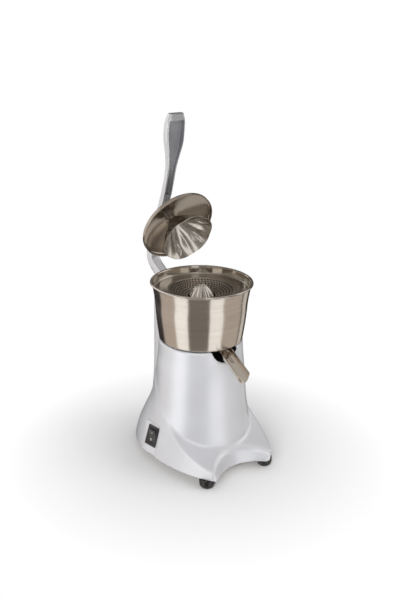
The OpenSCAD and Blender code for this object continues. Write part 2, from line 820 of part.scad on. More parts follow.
module upper_bearing() {
    color(steel) bearing(motor_top - shoulder - bearing_t);
}

module lower_bearing() {
    color(steel) bearing(motor_low + shoulder);
}

module motor_bolts() {
    color(steel) at_bolts() translate([0, 0, motor_low]) {
        translate([0, 0, -bolt_head_h]) cylinder(r = bolt_head_r, h = bolt_head_h);
        cylinder(d = motor_bolt_d, h = motor_top + 2 * motor_boss_r - bolt_short - motor_low);
    }
}

module rotor() {
    color(cast) difference() {
        union() {
            translate([0, 0, stack_low]) cylinder(r = stack_bore_r - air_gap, h = stack_high - stack_low);
            translate([0, 0, stack_low - end_ring])
                cylinder(r = stack_bore_r - end_ring / 2, h = stack_high - stack_low + 2 * end_ring);
        }
        for (z = [stack_low - end_ring - cut, stack_high])
            translate([0, 0, z]) cylinder(r = stack_bore_r / 2, h = end_ring + cut);
        cylinder(r = shaft_r + press, h = body_top);
    }
}

module drive_shaft() {
    color(steel) translate([0, 0, shaft_low])
        cylinder(r = shaft_r, h = rim_z - shaft_top_depth - shaft_low);
}

module cooling_fan() {
    color(black) translate([0, 0, fan_top - fan_h]) difference() {
        union() {
            translate([0, 0, fan_h - fan_disc_t]) cylinder(r = fan_r, h = fan_disc_t);
            cylinder(r = fan_hub_r, h = fan_h);
            for (i = [0 : fan_blades - 1]) rotate([0, 0, 360 * i / fan_blades])
                translate([fan_hub_r - cut, -blade_t / 2, blade_t / 2])
                    cube([fan_r - fan_hub_r, blade_t, fan_h - fan_disc_t]);
        }
        translate([0, 0, -cut]) cylinder(r = shaft_r + press, h = fan_h + 2 * cut);
    }
}

capacitor_z = base_z + plate_t + clip_foot_t + capacitor_r - capacitor_sink;
module run_capacitor() {
    color("#d8d8d4") translate([-capacitor_len / 2, capacitor_y, capacitor_z]) rotate([0, 90, 0]) {
        cylinder(r = capacitor_r, h = capacitor_len);
        for (y = [-1, 1]) translate([0, tab_y * y, capacitor_len]) cylinder(r = tab_r, h = tab_len);
    }
}

module capacitor_clip() {
    color(steel) translate([0, capacitor_y, 0]) difference() {
        union() {
            translate([-clip_w / 2, 0, capacitor_z]) rotate([0, 90, 0])
                cylinder(r = capacitor_r + clip_t, h = clip_w);
            translate([-clip_w / 2, -clip_foot_w / 2, base_z + plate_t])
                cube([clip_w, clip_foot_w, clip_foot_t]);
        }
        translate([-clip_w, 0, capacitor_z]) rotate([0, 90, 0])
            cylinder(r = capacitor_r + press, h = 2 * clip_w);
        translate([-clip_w, -clip_foot_w, 0]) cube([2 * clip_w, 2 * clip_foot_w, base_z + plate_t]);
    }
}

module terminal_block() {
    pitch = terminal_size[0] / terminal_ways;
    color("#e4e2dc") translate([-terminal_size[0] / 2, terminal_y, base_z + plate_t]) difference() {
        cube(terminal_size);
        for (i = [0 : terminal_ways - 1]) translate([pitch * (i + 0.5), 0, 0]) {
            translate([0, terminal_size[1] / 2, terminal_size[2] - terminal_wire_z])
                cylinder(r = terminal_screw_r, h = terminal_wire_z + cut);
            translate([0, -cut, terminal_wire_z]) rotate([-90, 0, 0])
                cylinder(r = terminal_wire_r, h = terminal_size[1] + 2 * cut);
        }
    }
}

// Lever
module pivot_pin() {
    color(steel) translate([0, pivot_y, pivot_z]) rotate([0, 90, 0])
        cylinder(d = pivot_pin_d - 2 * press, h = tower_w - 2 * cut, center = true);
}

bush_r = 5.6;
bush_gap = 1;
module pivot_bushes() {
    color("#b08d4a") for (x = [-1, 1])
        translate([x * (arm_half_w + bush_gap) / 2, pivot_y, pivot_z]) rotate([0, 90, 0]) difference() {
            cylinder(r = bush_r, h = arm_half_w - bush_gap, center = true);
            cylinder(d = pivot_pin_d + 2 * run, h = 2 * arm_half_w, center = true);
        }
}

// Below the cup's hinge the arm keeps its form, and above it the arm takes up arm_h
arm_unit = hinge_rel[1] / hinge_share;
function arm_place(s) = pivot + [arm_unit * s[0], s[1] < hinge_share ? arm_unit * s[1]
    : hinge_rel[1] + (arm_h - hinge_rel[1]) * (s[1] - hinge_share) / (1 - hinge_share)];
function arm_at(i) = arm_place(arm_shares[i]);
function unit(p) = p / norm(p);
arm_last = len(arm_shares) - 1;
function arm_way(i) = unit(arm_at(min(i + 1, arm_last)) - arm_at(max(i - 1, 0)));
function arm_w(i) = grip_half_w * arm_shares[i][2];
function arm_t(i) = grip_half_w * arm_shares[i][3];
function round_off(s, e) = sign(s) * pow(abs(s), e);
// A ring of the arm: q is the offset towards the arm's front
function arm_point(i, x, q) = let (c = arm_at(i), d = arm_way(i))
    [x, c[0] - q * d[1], c[1] + q * d[0]];
function arm_ring(i) = [for (k = [0 : arm_ring_points - 1])
    let (a = 360 * (k + 0.5) / arm_ring_points)
    arm_point(i, arm_w(i) * round_off(cos(a), arm_corner),
        -arm_t(i) / 2 * round_off(sin(a), arm_corner))];
function channel_ring(i) = let (w = arm_w(i) - channel_wall, low = channel_back - arm_t(i) / 2)
    let (c = channel_corner)
    [arm_point(i, w - c, low), arm_point(i, c - w, low), arm_point(i, -w, low + c),
    arm_point(i, -w, arm_t(i)), arm_point(i, w, arm_t(i)), arm_point(i, w, low + c)];

lug_x = yoke_w / 2 + fit;
lug_t = 3;
lug_root = [[0.075, 0.475], [0.105, 0.375]];    // where the lugs enter the arm, in its shares
module lever_arm() {
    color(cast) difference() {
        union() {
            loft([for (i = [0 : arm_last]) arm_ring(i)]);
            translate([0, pivot_y, pivot_z]) rotate([0, 90, 0])
                cylinder(r = arm_boss_r, h = 2 * arm_half_w, center = true);
            for (x = [-lug_x - lug_t, lug_x])
                translate([x, 0, 0]) rotate([90, 0, 90]) linear_extrude(lug_t) {
                    translate(hinge) circle(lug_r);
                    polygon([hinge + [0, lug_r], hinge - [0, lug_r],
                        arm_place(lug_root[1]), arm_place(lug_root[0])]);
                }
        }
        loft([for (i = [channel_first : channel_last]) channel_ring(i)]);
        translate([0, pivot_y, pivot_z]) rotate([0, 90, 0])
            cylinder(r = bush_r + press, h = 4 * arm_half_w, center = true);
        translate([0, hinge[0], hinge[1]]) rotate([0, 90, 0])
            cylinder(d = cup_pin_d, h = 4 * arm_half_w, center = true);
    }
}

circlip_t = 0.8;
circlip_w = 1.8;
cup_pin_half = lug_x + lug_t + 2 * circlip_t;
module cup_pin() {
    color(steel) translate([0, hinge[0], hinge[1]]) rotate([0, 90, 0])
        cylinder(d = cup_pin_d - 2 * press, h = 2 * cup_pin_half, center = true);
}

module cup_circlips() {
    color(steel) for (x = [-1, 1])
        translate([x * (lug_x + lug_t + circlip_t / 2), hinge[0], hinge[1]]) rotate([0, 90, 0])
            difference() {
                cylinder(r = cup_pin_d / 2 + circlip_w, h = circlip_t, center = true);
                cylinder(d = cup_pin_d, h = 2 * circlip_t, center = true);
            }
}

// Cup: its own frame stands on the dish rim's centre with +Z towards the pin
module at_cup() {
    translate([0, hinge[0], hinge[1]]) rotate([-cup_tilt, 0, 0])
        translate([0, 0, -cup_pin_h]) children();
}

yoke_foot_r = 12;
yoke_foot_t = 3.6;
yoke_r = 7;
cup_bolt_r = 3;
dish_crown = 0.4;
dish_flat_z = splash_depth + dish_crown;
bolt_reach = 8.6;        // length of the bolt in the yoke
dish_flat_r = 13;
dish_lip = 5;
dish_arc_points = 12;
module cup_yoke() {
    color(steel) at_cup() difference() {
        union() {
            translate([0, 0, dish_flat_z]) cylinder(r = yoke_foot_r, h = yoke_foot_t);
            rotate([90, 0, 90]) linear_extrude(yoke_w, center = true) {
                translate([0, cup_pin_h]) circle(yoke_r);
                translate([-yoke_r, dish_flat_z + cut])
                    square([2 * yoke_r, cup_pin_h - dish_flat_z - cut]);
            }
        }
        translate([0, 0, cup_pin_h]) rotate([0, 90, 0])
            cylinder(d = cup_pin_d + 2 * run, h = 2 * yoke_w, center = true);
        translate([0, 0, dish_flat_z - cut])
            cylinder(r = cup_bolt_r + press, h = bolt_reach + 2 * fit + cut);
    }
}

module splash_dish() {
    r = splash_d / 2;
    lip = dish_lip / 2;
    out = [for (k = [0 : dish_arc_points]) let (a = 90 * k / dish_arc_points)
        [dish_flat_r + (r - dish_flat_r) * cos(a), lip + (dish_flat_z - lip) * sin(a)]];
    in = [for (k = [dish_arc_points : -1 : 0]) let (a = 90 * k / dish_arc_points)
        [dish_flat_r + (r - cup_t - dish_flat_r) * cos(a),
            lip + (dish_flat_z - cup_t - lip) * sin(a)]];
    color(steel) at_cup() rotate_extrude() polygon(concat([[r - cup_t, -lip], [r, -lip]], out,
        [[cup_bolt_r + press, dish_flat_z], [cup_bolt_r + press, dish_flat_z - cup_t]], in));
}

// Bell profile: height above the dish rim as a share of the drop, radius and depth of the folds as
// shares of the mouth's
bell_shares = [[0.408, 0.18, 0], [0.36, 0.26, 0.15], [0.23, 0.352, 0.4], [0.086, 0.443, 0.65],
    [-0.086, 0.552, 0.85], [-0.287, 0.67, 1], [-0.517, 0.777, 1], [-0.776, 0.893, 0.8],
    [-1, 1, 0.55]];
bell_fold = 0.1;
bell_points = 6;
bell_apex_z = bell_drop * bell_shares[0][0];
function bell_ring(s, inset) = let (n = bell_points * bell_lobes)
    [for (i = [0 : n - 1]) let (a = 360 * i / n, f = abs(cos(bell_lobes / 2 * (a - 90))),
        r = (bell_r * s[1] - inset) * (1 - bell_fold * s[2] * (1 - f)))
        [r * cos(a), r * sin(a), bell_drop * s[0]]];
slot_low = -27;
slot_high = -8;
slot_r = 2.9;
module press_bell() {
    last = len(bell_shares) - 1;
    lower = [for (i = [last : -1 : 1]) bell_shares[i]];
    color(steel) at_cup() difference() {
        loft([for (s = concat(lower, [bell_shares[0]])) bell_ring(s, 0)]);
        loft(concat([[for (p = bell_ring(bell_shares[last], cup_t)) p - [0, 0, cut]]],
            [for (s = lower) bell_ring(s, cup_t)],
            [[for (p = bell_ring(bell_shares[0], cup_t)) p - [0, 0, cup_t]]]));
        translate([0, 0, -bell_drop]) cylinder(r = cup_bolt_r + press, h = 2 * bell_drop + splash_depth);
        for (i = [0 : bell_lobes - 1]) rotate([0, 0, 90 + 360 * i / bell_lobes])
            translate([0, 0, (slot_low + slot_high) / 2]) rotate([0, 90, 0])
                scale([(slot_high - slot_low) / 2 / slot_r, 1, 1])
                    cylinder(r = slot_r, h = 2 * bell_r, $fn = 12);
    }
}

bolt_washer_r = 7;
bolt_washer_t = 1.5;
bolt_cap_r = 5.5;
bolt_cap_h = 4.5;
spacer_r = 7;
module bell_bolt() {
    under = bell_apex_z - cup_t;
    spacer = dish_flat_z - cup_t - bell_apex_z;
    color(steel) at_cup() {
        translate([0, 0, bell_apex_z]) cylinder(r = spacer_r, h = spacer);
        translate([0, 0, under - bolt_washer_t]) cylinder(r = bolt_washer_r, h = bolt_washer_t);
        translate([0, 0, under - bolt_washer_t - bolt_cap_h]) cylinder(r = bolt_cap_r, h = bolt_cap_h);
        translate([0, 0, under - bolt_washer_t])
            cylinder(r = cup_bolt_r, h = dish_flat_z + bolt_reach - under + bolt_washer_t);
    }
}

body_casting();
pivot_post();
base_plate();
rubber_feet();
foot_screws();
juice_bowl();
bowl_spout();
strainer();
seat_ring();
shaft_seal();
switch_frame();
cable_gland();
stator_stack();
stator_windings();
upper_end_bell();
lower_end_bell();
upper_bearing();
lower_bearing();
motor_bolts();
run_capacitor();
capacitor_clip();
terminal_block();
pivot_pin();
rotor();
drive_shaft();
cooling_fan();
reamer();
lever_arm();
pivot_bushes();
cup_pin();
cup_circlips();
cup_yoke();
splash_dish();
press_bell();
bell_bolt();
switch_rocker();
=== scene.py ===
"""Looks of the lever citrus juicer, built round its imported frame.
The pieces are shaped in millimetres and brought to metres once, in solid()."""

import json
import math
from contextlib import contextmanager

import bmesh
import bpy
import numpy as np
from mathutils import Matrix, Vector

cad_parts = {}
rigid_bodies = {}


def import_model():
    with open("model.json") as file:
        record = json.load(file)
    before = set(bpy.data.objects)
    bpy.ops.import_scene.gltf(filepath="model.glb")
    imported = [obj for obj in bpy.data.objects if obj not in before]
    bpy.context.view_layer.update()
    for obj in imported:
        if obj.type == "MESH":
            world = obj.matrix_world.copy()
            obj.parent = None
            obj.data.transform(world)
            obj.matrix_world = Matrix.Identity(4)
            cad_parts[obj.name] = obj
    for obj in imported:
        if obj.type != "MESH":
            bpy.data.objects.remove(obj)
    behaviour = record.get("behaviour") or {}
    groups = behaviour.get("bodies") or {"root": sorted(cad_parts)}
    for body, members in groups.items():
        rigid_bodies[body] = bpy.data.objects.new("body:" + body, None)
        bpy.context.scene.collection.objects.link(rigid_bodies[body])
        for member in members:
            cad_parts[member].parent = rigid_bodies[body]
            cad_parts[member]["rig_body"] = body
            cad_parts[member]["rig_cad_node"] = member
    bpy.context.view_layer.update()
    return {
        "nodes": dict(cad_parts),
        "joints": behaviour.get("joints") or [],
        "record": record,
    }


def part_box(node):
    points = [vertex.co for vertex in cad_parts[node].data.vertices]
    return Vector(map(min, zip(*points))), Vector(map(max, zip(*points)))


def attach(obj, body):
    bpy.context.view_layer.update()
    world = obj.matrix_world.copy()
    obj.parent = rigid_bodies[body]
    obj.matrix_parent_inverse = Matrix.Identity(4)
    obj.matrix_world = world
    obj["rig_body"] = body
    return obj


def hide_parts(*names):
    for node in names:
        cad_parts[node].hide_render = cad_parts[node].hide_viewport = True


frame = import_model()
nodes = frame["nodes"]
MM = 0.001


def corners(node):
    """Lowest and highest corner of a CAD node, in millimetres."""
    low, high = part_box(node)
    return np.array(low) / MM, np.array(high) / MM


# Sizes in millimetres, from the frame and beside it
bowl_low, bowl_high = corners("juice_bowl")
body_low, body_high = corners("body_casting")
RIM_R, RIM_Z, BOWL_Z = bowl_high[0], bowl_high[2], bowl_low[2]
BASE_Z, BASE_HALF_W, LEG_REACH = body_low[2], body_high[0], -body_low[1]
TOWER_TOP = corners("pivot_post")[1][2]
SEAT_GAP, FLOOR_R, COLUMN_R = 1.0, 70.0, 70.5
BODY_TOP = BOWL_Z - SEAT_GAP
joints = {j["name"]: j for j in frame["joints"]}
PIVOT = np.array(joints["lever_hinge"]["pos_m"]) / MM
HINGE = np.array(joints["cup_hinge"]["pos_m"]) / MM


# Materials

NOISE_RANGE, TONE_STOPS = (0.3, 0.7), (0.35, 0.65)
TONE_DETAIL, GRAIN_DETAIL = 3.0, 2.0
GRAIN_BUMP, LINE_BUMP, COAT_ROUGHNESS = 0.35, 0.3, 0.08
LINE_STRETCH, CLOUD_STRETCH, LINES_IN_CLOUD, QUARTER_TURN = 5, 2, 12, 0.25


def material(name, given):
    """A new material with its tree and its Principled shader, whose own sockets are set."""
    made = bpy.data.materials.new(name)
    made.use_nodes = True
    shader = made.node_tree.nodes["Principled BSDF"]
    for key, value in given.items():
        shader.inputs[key].default_value = value
    return made, made.node_tree, shader


def add(tree, kind, given=None, **settings):
    """A new node with its settings, and its inputs given as values or as sockets to link."""
    made = tree.nodes.new(kind)
    for key, value in settings.items():
        setattr(made, key, value)
    for key, value in (given or {}).items():
        if isinstance(value, bpy.types.NodeSocket):
            tree.links.new(value, made.inputs[key])
        else:
            made.inputs[key].default_value = value
    return made


def noise(tree, scale, detail=4.0, stretch=(1, 1, 1), place=None):
    """Noise on Object coordinates or another place, stretched by its three axes."""
    if place is None:
        place = add(tree, "ShaderNodeTexCoord").outputs["Object"]
    stretched = add(tree, "ShaderNodeMapping", {"Vector": place, "Scale": stretch})
    return add(tree, "ShaderNodeTexNoise", {"Vector": stretched.outputs["Vector"], "Scale": scale,
                                            "Detail": detail}).outputs["Fac"]


def vary(tree, source, low, high, target):
    """Drives a number socket between low and high by the source."""
    between = add(tree, "ShaderNodeMapRange", {
        "Value": source, "From Min": NOISE_RANGE[0], "From Max": NOISE_RANGE[1],
        "To Min": low, "To Max": high})
    tree.links.new(between.outputs["Result"], target)


def tint(tree, source, dark, light, target):
    """Drives a colour socket between two colours by the source."""
    ramp = add(tree, "ShaderNodeValToRGB", {"Fac": source})
    for stop, place, colour in zip(ramp.color_ramp.elements, TONE_STOPS, (dark, light)):
        stop.position = place
        stop.color = (*colour, 1)
    tree.links.new(ramp.outputs["Color"], target)


def emboss(tree, source, strength, distance, shader):
    """Bump of the source on the shader's normal."""
    bump = add(tree, "ShaderNodeBump", {"Height": source, "Strength": strength,
                                        "Distance": distance})
    tree.links.new(bump.outputs["Normal"], shader.inputs["Normal"])


def surface(name, dark, light, rough, metallic=0.0, scale=60.0, stretch=(1, 1, 1), depth=0.0,
            grain=900.0, coat=0.0):
    """A finish with two close tones, an uneven gloss and a fine grain."""
    made, tree, shader = material(name, {"Metallic": metallic, "Coat Weight": coat,
                                         "Coat Roughness": COAT_ROUGHNESS})
    fine = noise(tree, grain, GRAIN_DETAIL, stretch)
    tint(tree, noise(tree, scale, TONE_DETAIL, stretch), dark, light, shader.inputs["Base Color"])
    vary(tree, fine, *rough, shader.inputs["Roughness"])
    if depth:
        emboss(tree, fine, GRAIN_BUMP, depth, shader)
    return made


def spun_steel(name, dark, light, rough, anisotropic, lines, depth):
    """Steel brushed round its own axis: the lines follow the turn map of the piece."""
    made, tree, shader = material(name, {"Metallic": 1, "Anisotropic": anisotropic,
                                         "Anisotropic Rotation": QUARTER_TURN})
    place = add(tree, "ShaderNodeUVMap", uv_map="turn").outputs["UV"]
    way = add(tree, "ShaderNodeTangent", direction_type="UV_MAP", uv_map="turn")
    tree.links.new(way.outputs["Tangent"], shader.inputs["Tangent"])
    fine = noise(tree, 1, GRAIN_DETAIL, (LINE_STRETCH, lines, 1), place)
    cloud = noise(tree, 1, TONE_DETAIL, (CLOUD_STRETCH, lines / LINES_IN_CLOUD, 1), place)
    vary(tree, fine, *rough, shader.inputs["Roughness"])
    emboss(tree, fine, LINE_BUMP, depth, shader)
    tint(tree, cloud, dark, light, shader.inputs["Base Color"])
    return made


silver_paint = surface(
    "silver_paint", (0.68, 0.69, 0.725), (0.70, 0.71, 0.745), (0.33, 0.39), metallic=0.45, scale=9,
    depth=0.000004, grain=2200, coat=0.1)
bowl_steel = spun_steel(
    "bowl_steel", (0.63, 0.59, 0.55), (0.67, 0.63, 0.59), (0.16, 0.22), 0.6, 1500, 0.000004)
spun_inside = spun_steel(
    "spun_inside", (0.60, 0.56, 0.51), (0.65, 0.61, 0.56), (0.06, 0.09), 0.3, 1100, 0.000001)
dish_steel = spun_steel(
    "dish_steel", (0.47, 0.42, 0.37), (0.50, 0.45, 0.395), (0.15, 0.2), 0.8, 900, 0.000001)
strainer_steel = spun_steel(
    "strainer_steel", (0.56, 0.52, 0.47), (0.6, 0.56, 0.51), (0.28, 0.34), 0.3, 900, 0.000001)
black_gloss = surface(
    "black_gloss", (0.012, 0.012, 0.013), (0.02, 0.02, 0.021), (0.06, 0.1), grain=1500, coat=0.6)
polished_steel = surface(
    "polished_steel", (0.70, 0.655, 0.60), (0.74, 0.69, 0.63), (0.08, 0.13), metallic=1, scale=30,
    depth=0.000002, grain=500)
satin_steel = surface(
    "satin_steel", (0.64, 0.61, 0.57), (0.68, 0.65, 0.61), (0.2, 0.26), metallic=1, depth=0.000004)
cast_aluminium = surface(
    "cast_aluminium", (0.70, 0.72, 0.76), (0.76, 0.78, 0.82), (0.25, 0.28), metallic=0.8, scale=50,
    depth=0.0000002, grain=500)
# A darker copy of the cast aluminium for the inside of the lever's channel: painted shade in the
# channel
channel_painted_shade = surface(
    "channel_painted_shade", (0.38, 0.39, 0.42), (0.44, 0.45, 0.48), (0.38, 0.5), metallic=0.8, scale=50,
    depth=0.000004, grain=700)
brushed_steel = surface(
    "brushed_steel", (0.50, 0.48, 0.46), (0.58, 0.56, 0.53), (0.28, 0.4), metallic=1, scale=120,
    depth=0.000006, grain=1400)
black_rubber = surface(
    "black_rubber", (0.008, 0.008, 0.009), (0.016, 0.016, 0.017), (0.22, 0.34), scale=40,
    depth=0.000006, coat=0.1)
black_plastic = surface(
    "black_plastic", (0.010, 0.010, 0.011), (0.018, 0.018, 0.019), (0.2, 0.3), depth=0.000004,
    grain=1500, coat=0.1)
# Near-black for the faces inside the front notch of the casting: painted shade in the hollow
notch_painted_shade = surface(
    "notch_painted_shade", (0.006, 0.006, 0.007), (0.012, 0.012, 0.012), (0.5, 0.65), depth=0.00003)
lamination = surface(
    "lamination", (0.09, 0.09, 0.1), (0.15, 0.15, 0.16), (0.4, 0.55), metallic=0.7, scale=40,
    stretch=(0.05, 0.05, 1), depth=0.0001, grain=1500)
copper = surface(
    "copper", (0.42, 0.17, 0.07), (0.56, 0.26, 0.11), (0.25, 0.4), metallic=0.9, scale=90,
    depth=0.0001, grain=700)
bronze = surface(
    "bronze", (0.45, 0.30, 0.13), (0.55, 0.38, 0.18), (0.3, 0.45), metallic=0.9, scale=90,
    depth=0.00003, grain=1200)
white_plastic = surface(
    "white_plastic", (0.70, 0.69, 0.66), (0.76, 0.75, 0.72), (0.35, 0.5), scale=40, depth=0.00002,
    grain=1500)
mark_white = surface(
    "mark_white", (0.62, 0.62, 0.62), (0.7, 0.7, 0.7), (0.4, 0.5), scale=200, grain=1500)

NODE_FINISHES = [
    (silver_paint, "body_casting pivot_post"), (bowl_steel, "juice_bowl"),
    (brushed_steel, "base_plate foot_screws motor_bolts capacitor_clip pivot_pin cup_pin "
                    "cup_circlips cup_yoke bell_bolt"),
    (polished_steel, "bowl_spout upper_bearing lower_bearing drive_shaft reamer splash_dish "
                     "press_bell"),
    (black_rubber, "rubber_feet seat_ring shaft_seal"), (strainer_steel, "strainer"),
    (black_plastic, "switch_frame cable_gland cooling_fan"), (black_gloss, "switch_rocker"),
    (cast_aluminium, "upper_end_bell lower_end_bell lever_arm"), (bronze, "pivot_bushes"),
    (lamination, "stator_stack rotor"), (copper, "stator_windings"),
    (white_plastic, "run_capacitor terminal_block")]
for finish, names in NODE_FINISHES:
    for name in names.split():
        nodes[name].data.materials.clear()
        nodes[name].data.materials.append(finish)
BODY_OF = {n: b for b, members in frame["record"]["behaviour"]["bodies"].items() for n in members}


# Mesh tools

SHARP = 35.0
WELD = 1e-6
CORNER_SHARE = 0.45


def solid(name, points, faces, finish):
    """A mesh object from points in millimetres."""
    mesh = bpy.data.meshes.new(name)
    mesh.from_pydata((np.asarray(points, float) * MM).tolist(), [], faces)
    mesh.update()
    made = bpy.data.objects.new(name, mesh)
    bpy.context.scene.collection.objects.link(made)
    mesh.materials.append(finish)
    soften(mesh, SHARP)
    return made


def soften(mesh, sharp):
    """Smooth shading but for edges sharper than the angle in degrees."""
    mesh.polygons.foreach_set("use_smooth", [True] * len(mesh.polygons))
    mesh.set_sharp_from_angle(angle=math.radians(sharp))


@contextmanager
def opened(mesh):
    """The mesh as a bmesh, written back at the end."""
    shape = bmesh.new()
    shape.from_mesh(mesh)
    yield shape
    shape.to_mesh(mesh)
    shape.free()


def stand_for(made, *taken):
    """The piece takes the place and body of one CAD node or more, which are hidden."""
    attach(made, BODY_OF[taken[0]])
    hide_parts(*taken)


def settle(made, sharp=SHARP):
    """Turns the modifiers into plain mesh."""
    bpy.context.view_layer.update()
    result = bpy.data.meshes.new_from_object(
        made.evaluated_get(bpy.context.evaluated_depsgraph_get()))
    made.modifiers.clear()
    made.data = result
    soften(result, sharp)
    return made


def join(made, others, sharp=SHARP):
    """Adds the meshes of other objects to the first and removes them."""
    with opened(made.data) as shape:
        for other in others:
            shape.from_mesh(other.data)
            bpy.data.objects.remove(other)
    soften(made.data, sharp)
    return made


def carve(made, cutters, operation="DIFFERENCE", sharp=SHARP):
    """Cuts the other solids out of the first, or unites them with it."""
    for cutter in cutters:
        step = made.modifiers.new("carve", "BOOLEAN")
        step.operation = operation
        step.solver = "EXACT"
        step.material_mode = "TRANSFER"
        step.object = cutter
    settle(made, sharp)
    for cutter in cutters:
        bpy.data.objects.remove(cutter)


def rows(count, around, closed=False):
    """Faces of a grid of rings that each have the same count round them."""
    last = count if closed else count - 1
    return [(k * around + i, k * around + (i + 1) % around,
             (k + 1) % count * around + (i + 1) % around, (k + 1) % count * around + i)
            for k in range(last) for i in range(around)]


def ends(count, around):
    """The two closing faces of a tube of rings."""
    return [tuple(range(around))[::-1], tuple(range((count - 1) * around, count * around))]


def turned(name, profile, finish, around=192, closed=True, sharp=SHARP):
    """A turned solid about Z from (radius, height) points, counter-clockwise when closed."""
    a = np.linspace(0, 2 * np.pi, around, endpoint=False) + np.pi / 2
    p = np.array(profile, float)
    points = np.stack([np.outer(p[:, 0], np.cos(a)), np.outer(p[:, 0], np.sin(a)),
                       np.outer(p[:, 1], np.ones(around))], -1).reshape(-1, 3)
    made = solid(name, points, rows(len(p), around, closed), finish)
    turn_map(made.data, np.vstack([p, p[:1]]), around)
    with opened(made.data) as shape:
        bmesh.ops.remove_doubles(shape, verts=shape.verts, dist=WELD)
        bmesh.ops.recalc_face_normals(shape, faces=shape.faces)
    soften(made.data, sharp)
    return made


def turn_map(mesh, profile, around):
    """UV map of a turned grid: turns across, metres along the profile."""
    along = np.concatenate([[0], np.cumsum(np.linalg.norm(np.diff(profile, axis=0), axis=1))]) * MM
    chart = mesh.uv_layers.new(name="turn")
    for number, face in enumerate(mesh.polygons):
        k, i = divmod(number, around)
        for loop, (dk, di) in zip(face.loop_indices, ((0, 0), (0, 1), (1, 1), (1, 0))):
            chart.data[loop].uv = ((i + di) / around, along[min(k + dk, len(along) - 1)])


def flowing(points, count):
    """A Catmull-Rom line through the points, with the given count of points."""
    p = np.array(points, float)
    p = np.vstack([2 * p[0] - p[1], p, 2 * p[-1] - p[-2]])
    t = np.linspace(0, len(points) - 1, count)
    k = np.minimum(t.astype(int), len(points) - 2)
    u = (t - k)[:, None]
    a, b, c, d = p[k], p[k + 1], p[k + 2], p[k + 3]
    return 0.5 * (2 * b + (c - a) * u + (2 * a - 5 * b + 4 * c - d) * u ** 2
                  + (3 * b - a - 3 * c + d) * u ** 3)


def arc(centre, radius, start, end, count=10):
    """Points of an arc, angles in degrees."""
    a = np.radians(np.linspace(start, end, count))
    return [(centre[0] + radius * math.cos(t), centre[1] + radius * math.sin(t)) for t in a]


def rounded(points, radius, count):
    """A closed outline with every corner rounded."""
    p = [np.array(q, float) for q in points]
    line = []
    for i, corner in enumerate(p):
        before, after = p[i - 1] - corner, p[(i + 1) % len(p)] - corner
        reach = min(radius, np.linalg.norm(before) * CORNER_SHARE,
                    np.linalg.norm(after) * CORNER_SHARE)
        a = corner + before / np.linalg.norm(before) * reach
        b = corner + after / np.linalg.norm(after) * reach
        for t in np.linspace(0, 1, count):
            line.append((1 - t) ** 2 * a + 2 * t * (1 - t) * corner + t * t * b)
    return line


def block(name, low, high, finish, place):
    """A box between two corners in millimetres, placed by a matrix in millimetres."""
    made = solid(name, [(x, y, z) for x in (low[0], high[0]) for y in (low[1], high[1])
                        for z in (low[2], high[2])],
                 [(0, 1, 3, 2), (4, 6, 7, 5), (0, 4, 5, 1), (2, 3, 7, 6), (0, 2, 6, 4),
                  (1, 5, 7, 3)], finish)
    put(made, place)
    return made


def rod(name, radius, low, high, finish, place, around=48):
    """A closed cylinder along the placed Z axis."""
    made = turned(name, [(0, low), (radius, low), (radius, high), (0, high)], finish, around,
                  closed=False)
    put(made, place)
    return made


def put(made, place):
    """Places a mesh by a matrix whose shift is in millimetres."""
    shifted = place.copy()
    shifted.translation = place.translation * MM
    made.data.transform(shifted)


def shift(x, y, z):
    return Matrix.Translation((x, y, z))


def turn(degrees, axis):
    return Matrix.Rotation(math.radians(degrees), 4, axis)


# Body casting: one smooth field, less than zero inside, with rounded meetings

BASE_MID, BASE_FRONT = 15.0, 172.0
BASE_REAR = body_high[1] - BASE_MID
SKIRT_TOP, SKIRT_TOP_W, SKIRT_TOP_REAR = 150.0, 72.0, 60.0
FRONT_LEAN, SKIRT_FLARE, REAR_FLARE = 0.7, 1.4, 1.1
LEG_TIP_Z = 32.0
RIDGE = np.array([[-LEG_REACH, LEG_TIP_Z], [-85, 46], [-40, 62], [0, 104]])
RIDGE_BEYOND = ((-400, -10), (200, 200))
SCALLOP_Y, SCALLOP_R, SCALLOP_LEAN = -170.0, 68.0, 0.27
NOTCH_R, NOTCH_Z, NOTCH_BACK = 25.0, BODY_TOP + 4.5, 34.0
NOTCH_PAINT_Y, NOTCH_PAINT_R, NOTCH_LIP = -20, 0.6, 1.5
COLUMN_SHARES = [(1, 1), (1.02, 0.88), (1.058, 0.765), (1.102, 0.58), (1.135, 0.455),
                 (1.172, 0.37), (1.205, 0.28), (1.24, 0.2), (1.28, 0.14), (1.34, 0)]
COLUMN_FOOT = 6
TOWER_HALF, TOWER_CORNER, TOWER_INNER = 20.0, 11.0, 50.0
TOWER_BACK = PIVOT[1] + 27.3
TOWER_FOOT_BACK, TOWER_FOOT_W = 9.0, 14.0
TOWER_FALL, TOWER_LEVEL, TOWER_FALL_SCALE = 0.84, 4, 1.2
BOWL_ROOM_FOOT, BOWL_ROOM_RIM, BOWL_ROOM_LOW = 2, 4.4, 0.3
ARM_HALF_W, ARM_GAP, ARM_SLOT_FRONT = 9.0, 0.3, 24
ARM_FLOOR, ARM_FLOOR_REAR, ARM_FLOOR_RISE = -11.3, -10.85, 0.6
WALL, COLUMN_ROOF, SKIRT_ROOF, POCKET_WALL = 5.0, 6, 7, 3.5
RECESS_RIM, RECESS_DEPTH, SHAFT_HOLE_R, SHAFT_HOLE_DEPTH = 5, 2.5, 11, 20
PIVOT_HOLE_R, GLAND_HOLE_R, GLAND_HOLE_Y, GLAND_Z, THROUGH = 4, 6, (-20, 40), 34.0, 30

# How far the meetings of the field are rounded, and a value well away from its surface
RIDGE_ROUND, LEG_ROUND, SCALLOP_ROUND, COLUMN_MEET, TOWER_MEET = 4, 5, 7, 4.5, 8
TOP_ROUND, TOWER_ROUND, CUT_ROUND, EDGE_ROUND, HOLLOW_ROUND = 3, 5, 2, 1.5, 1
FAR = 50.0

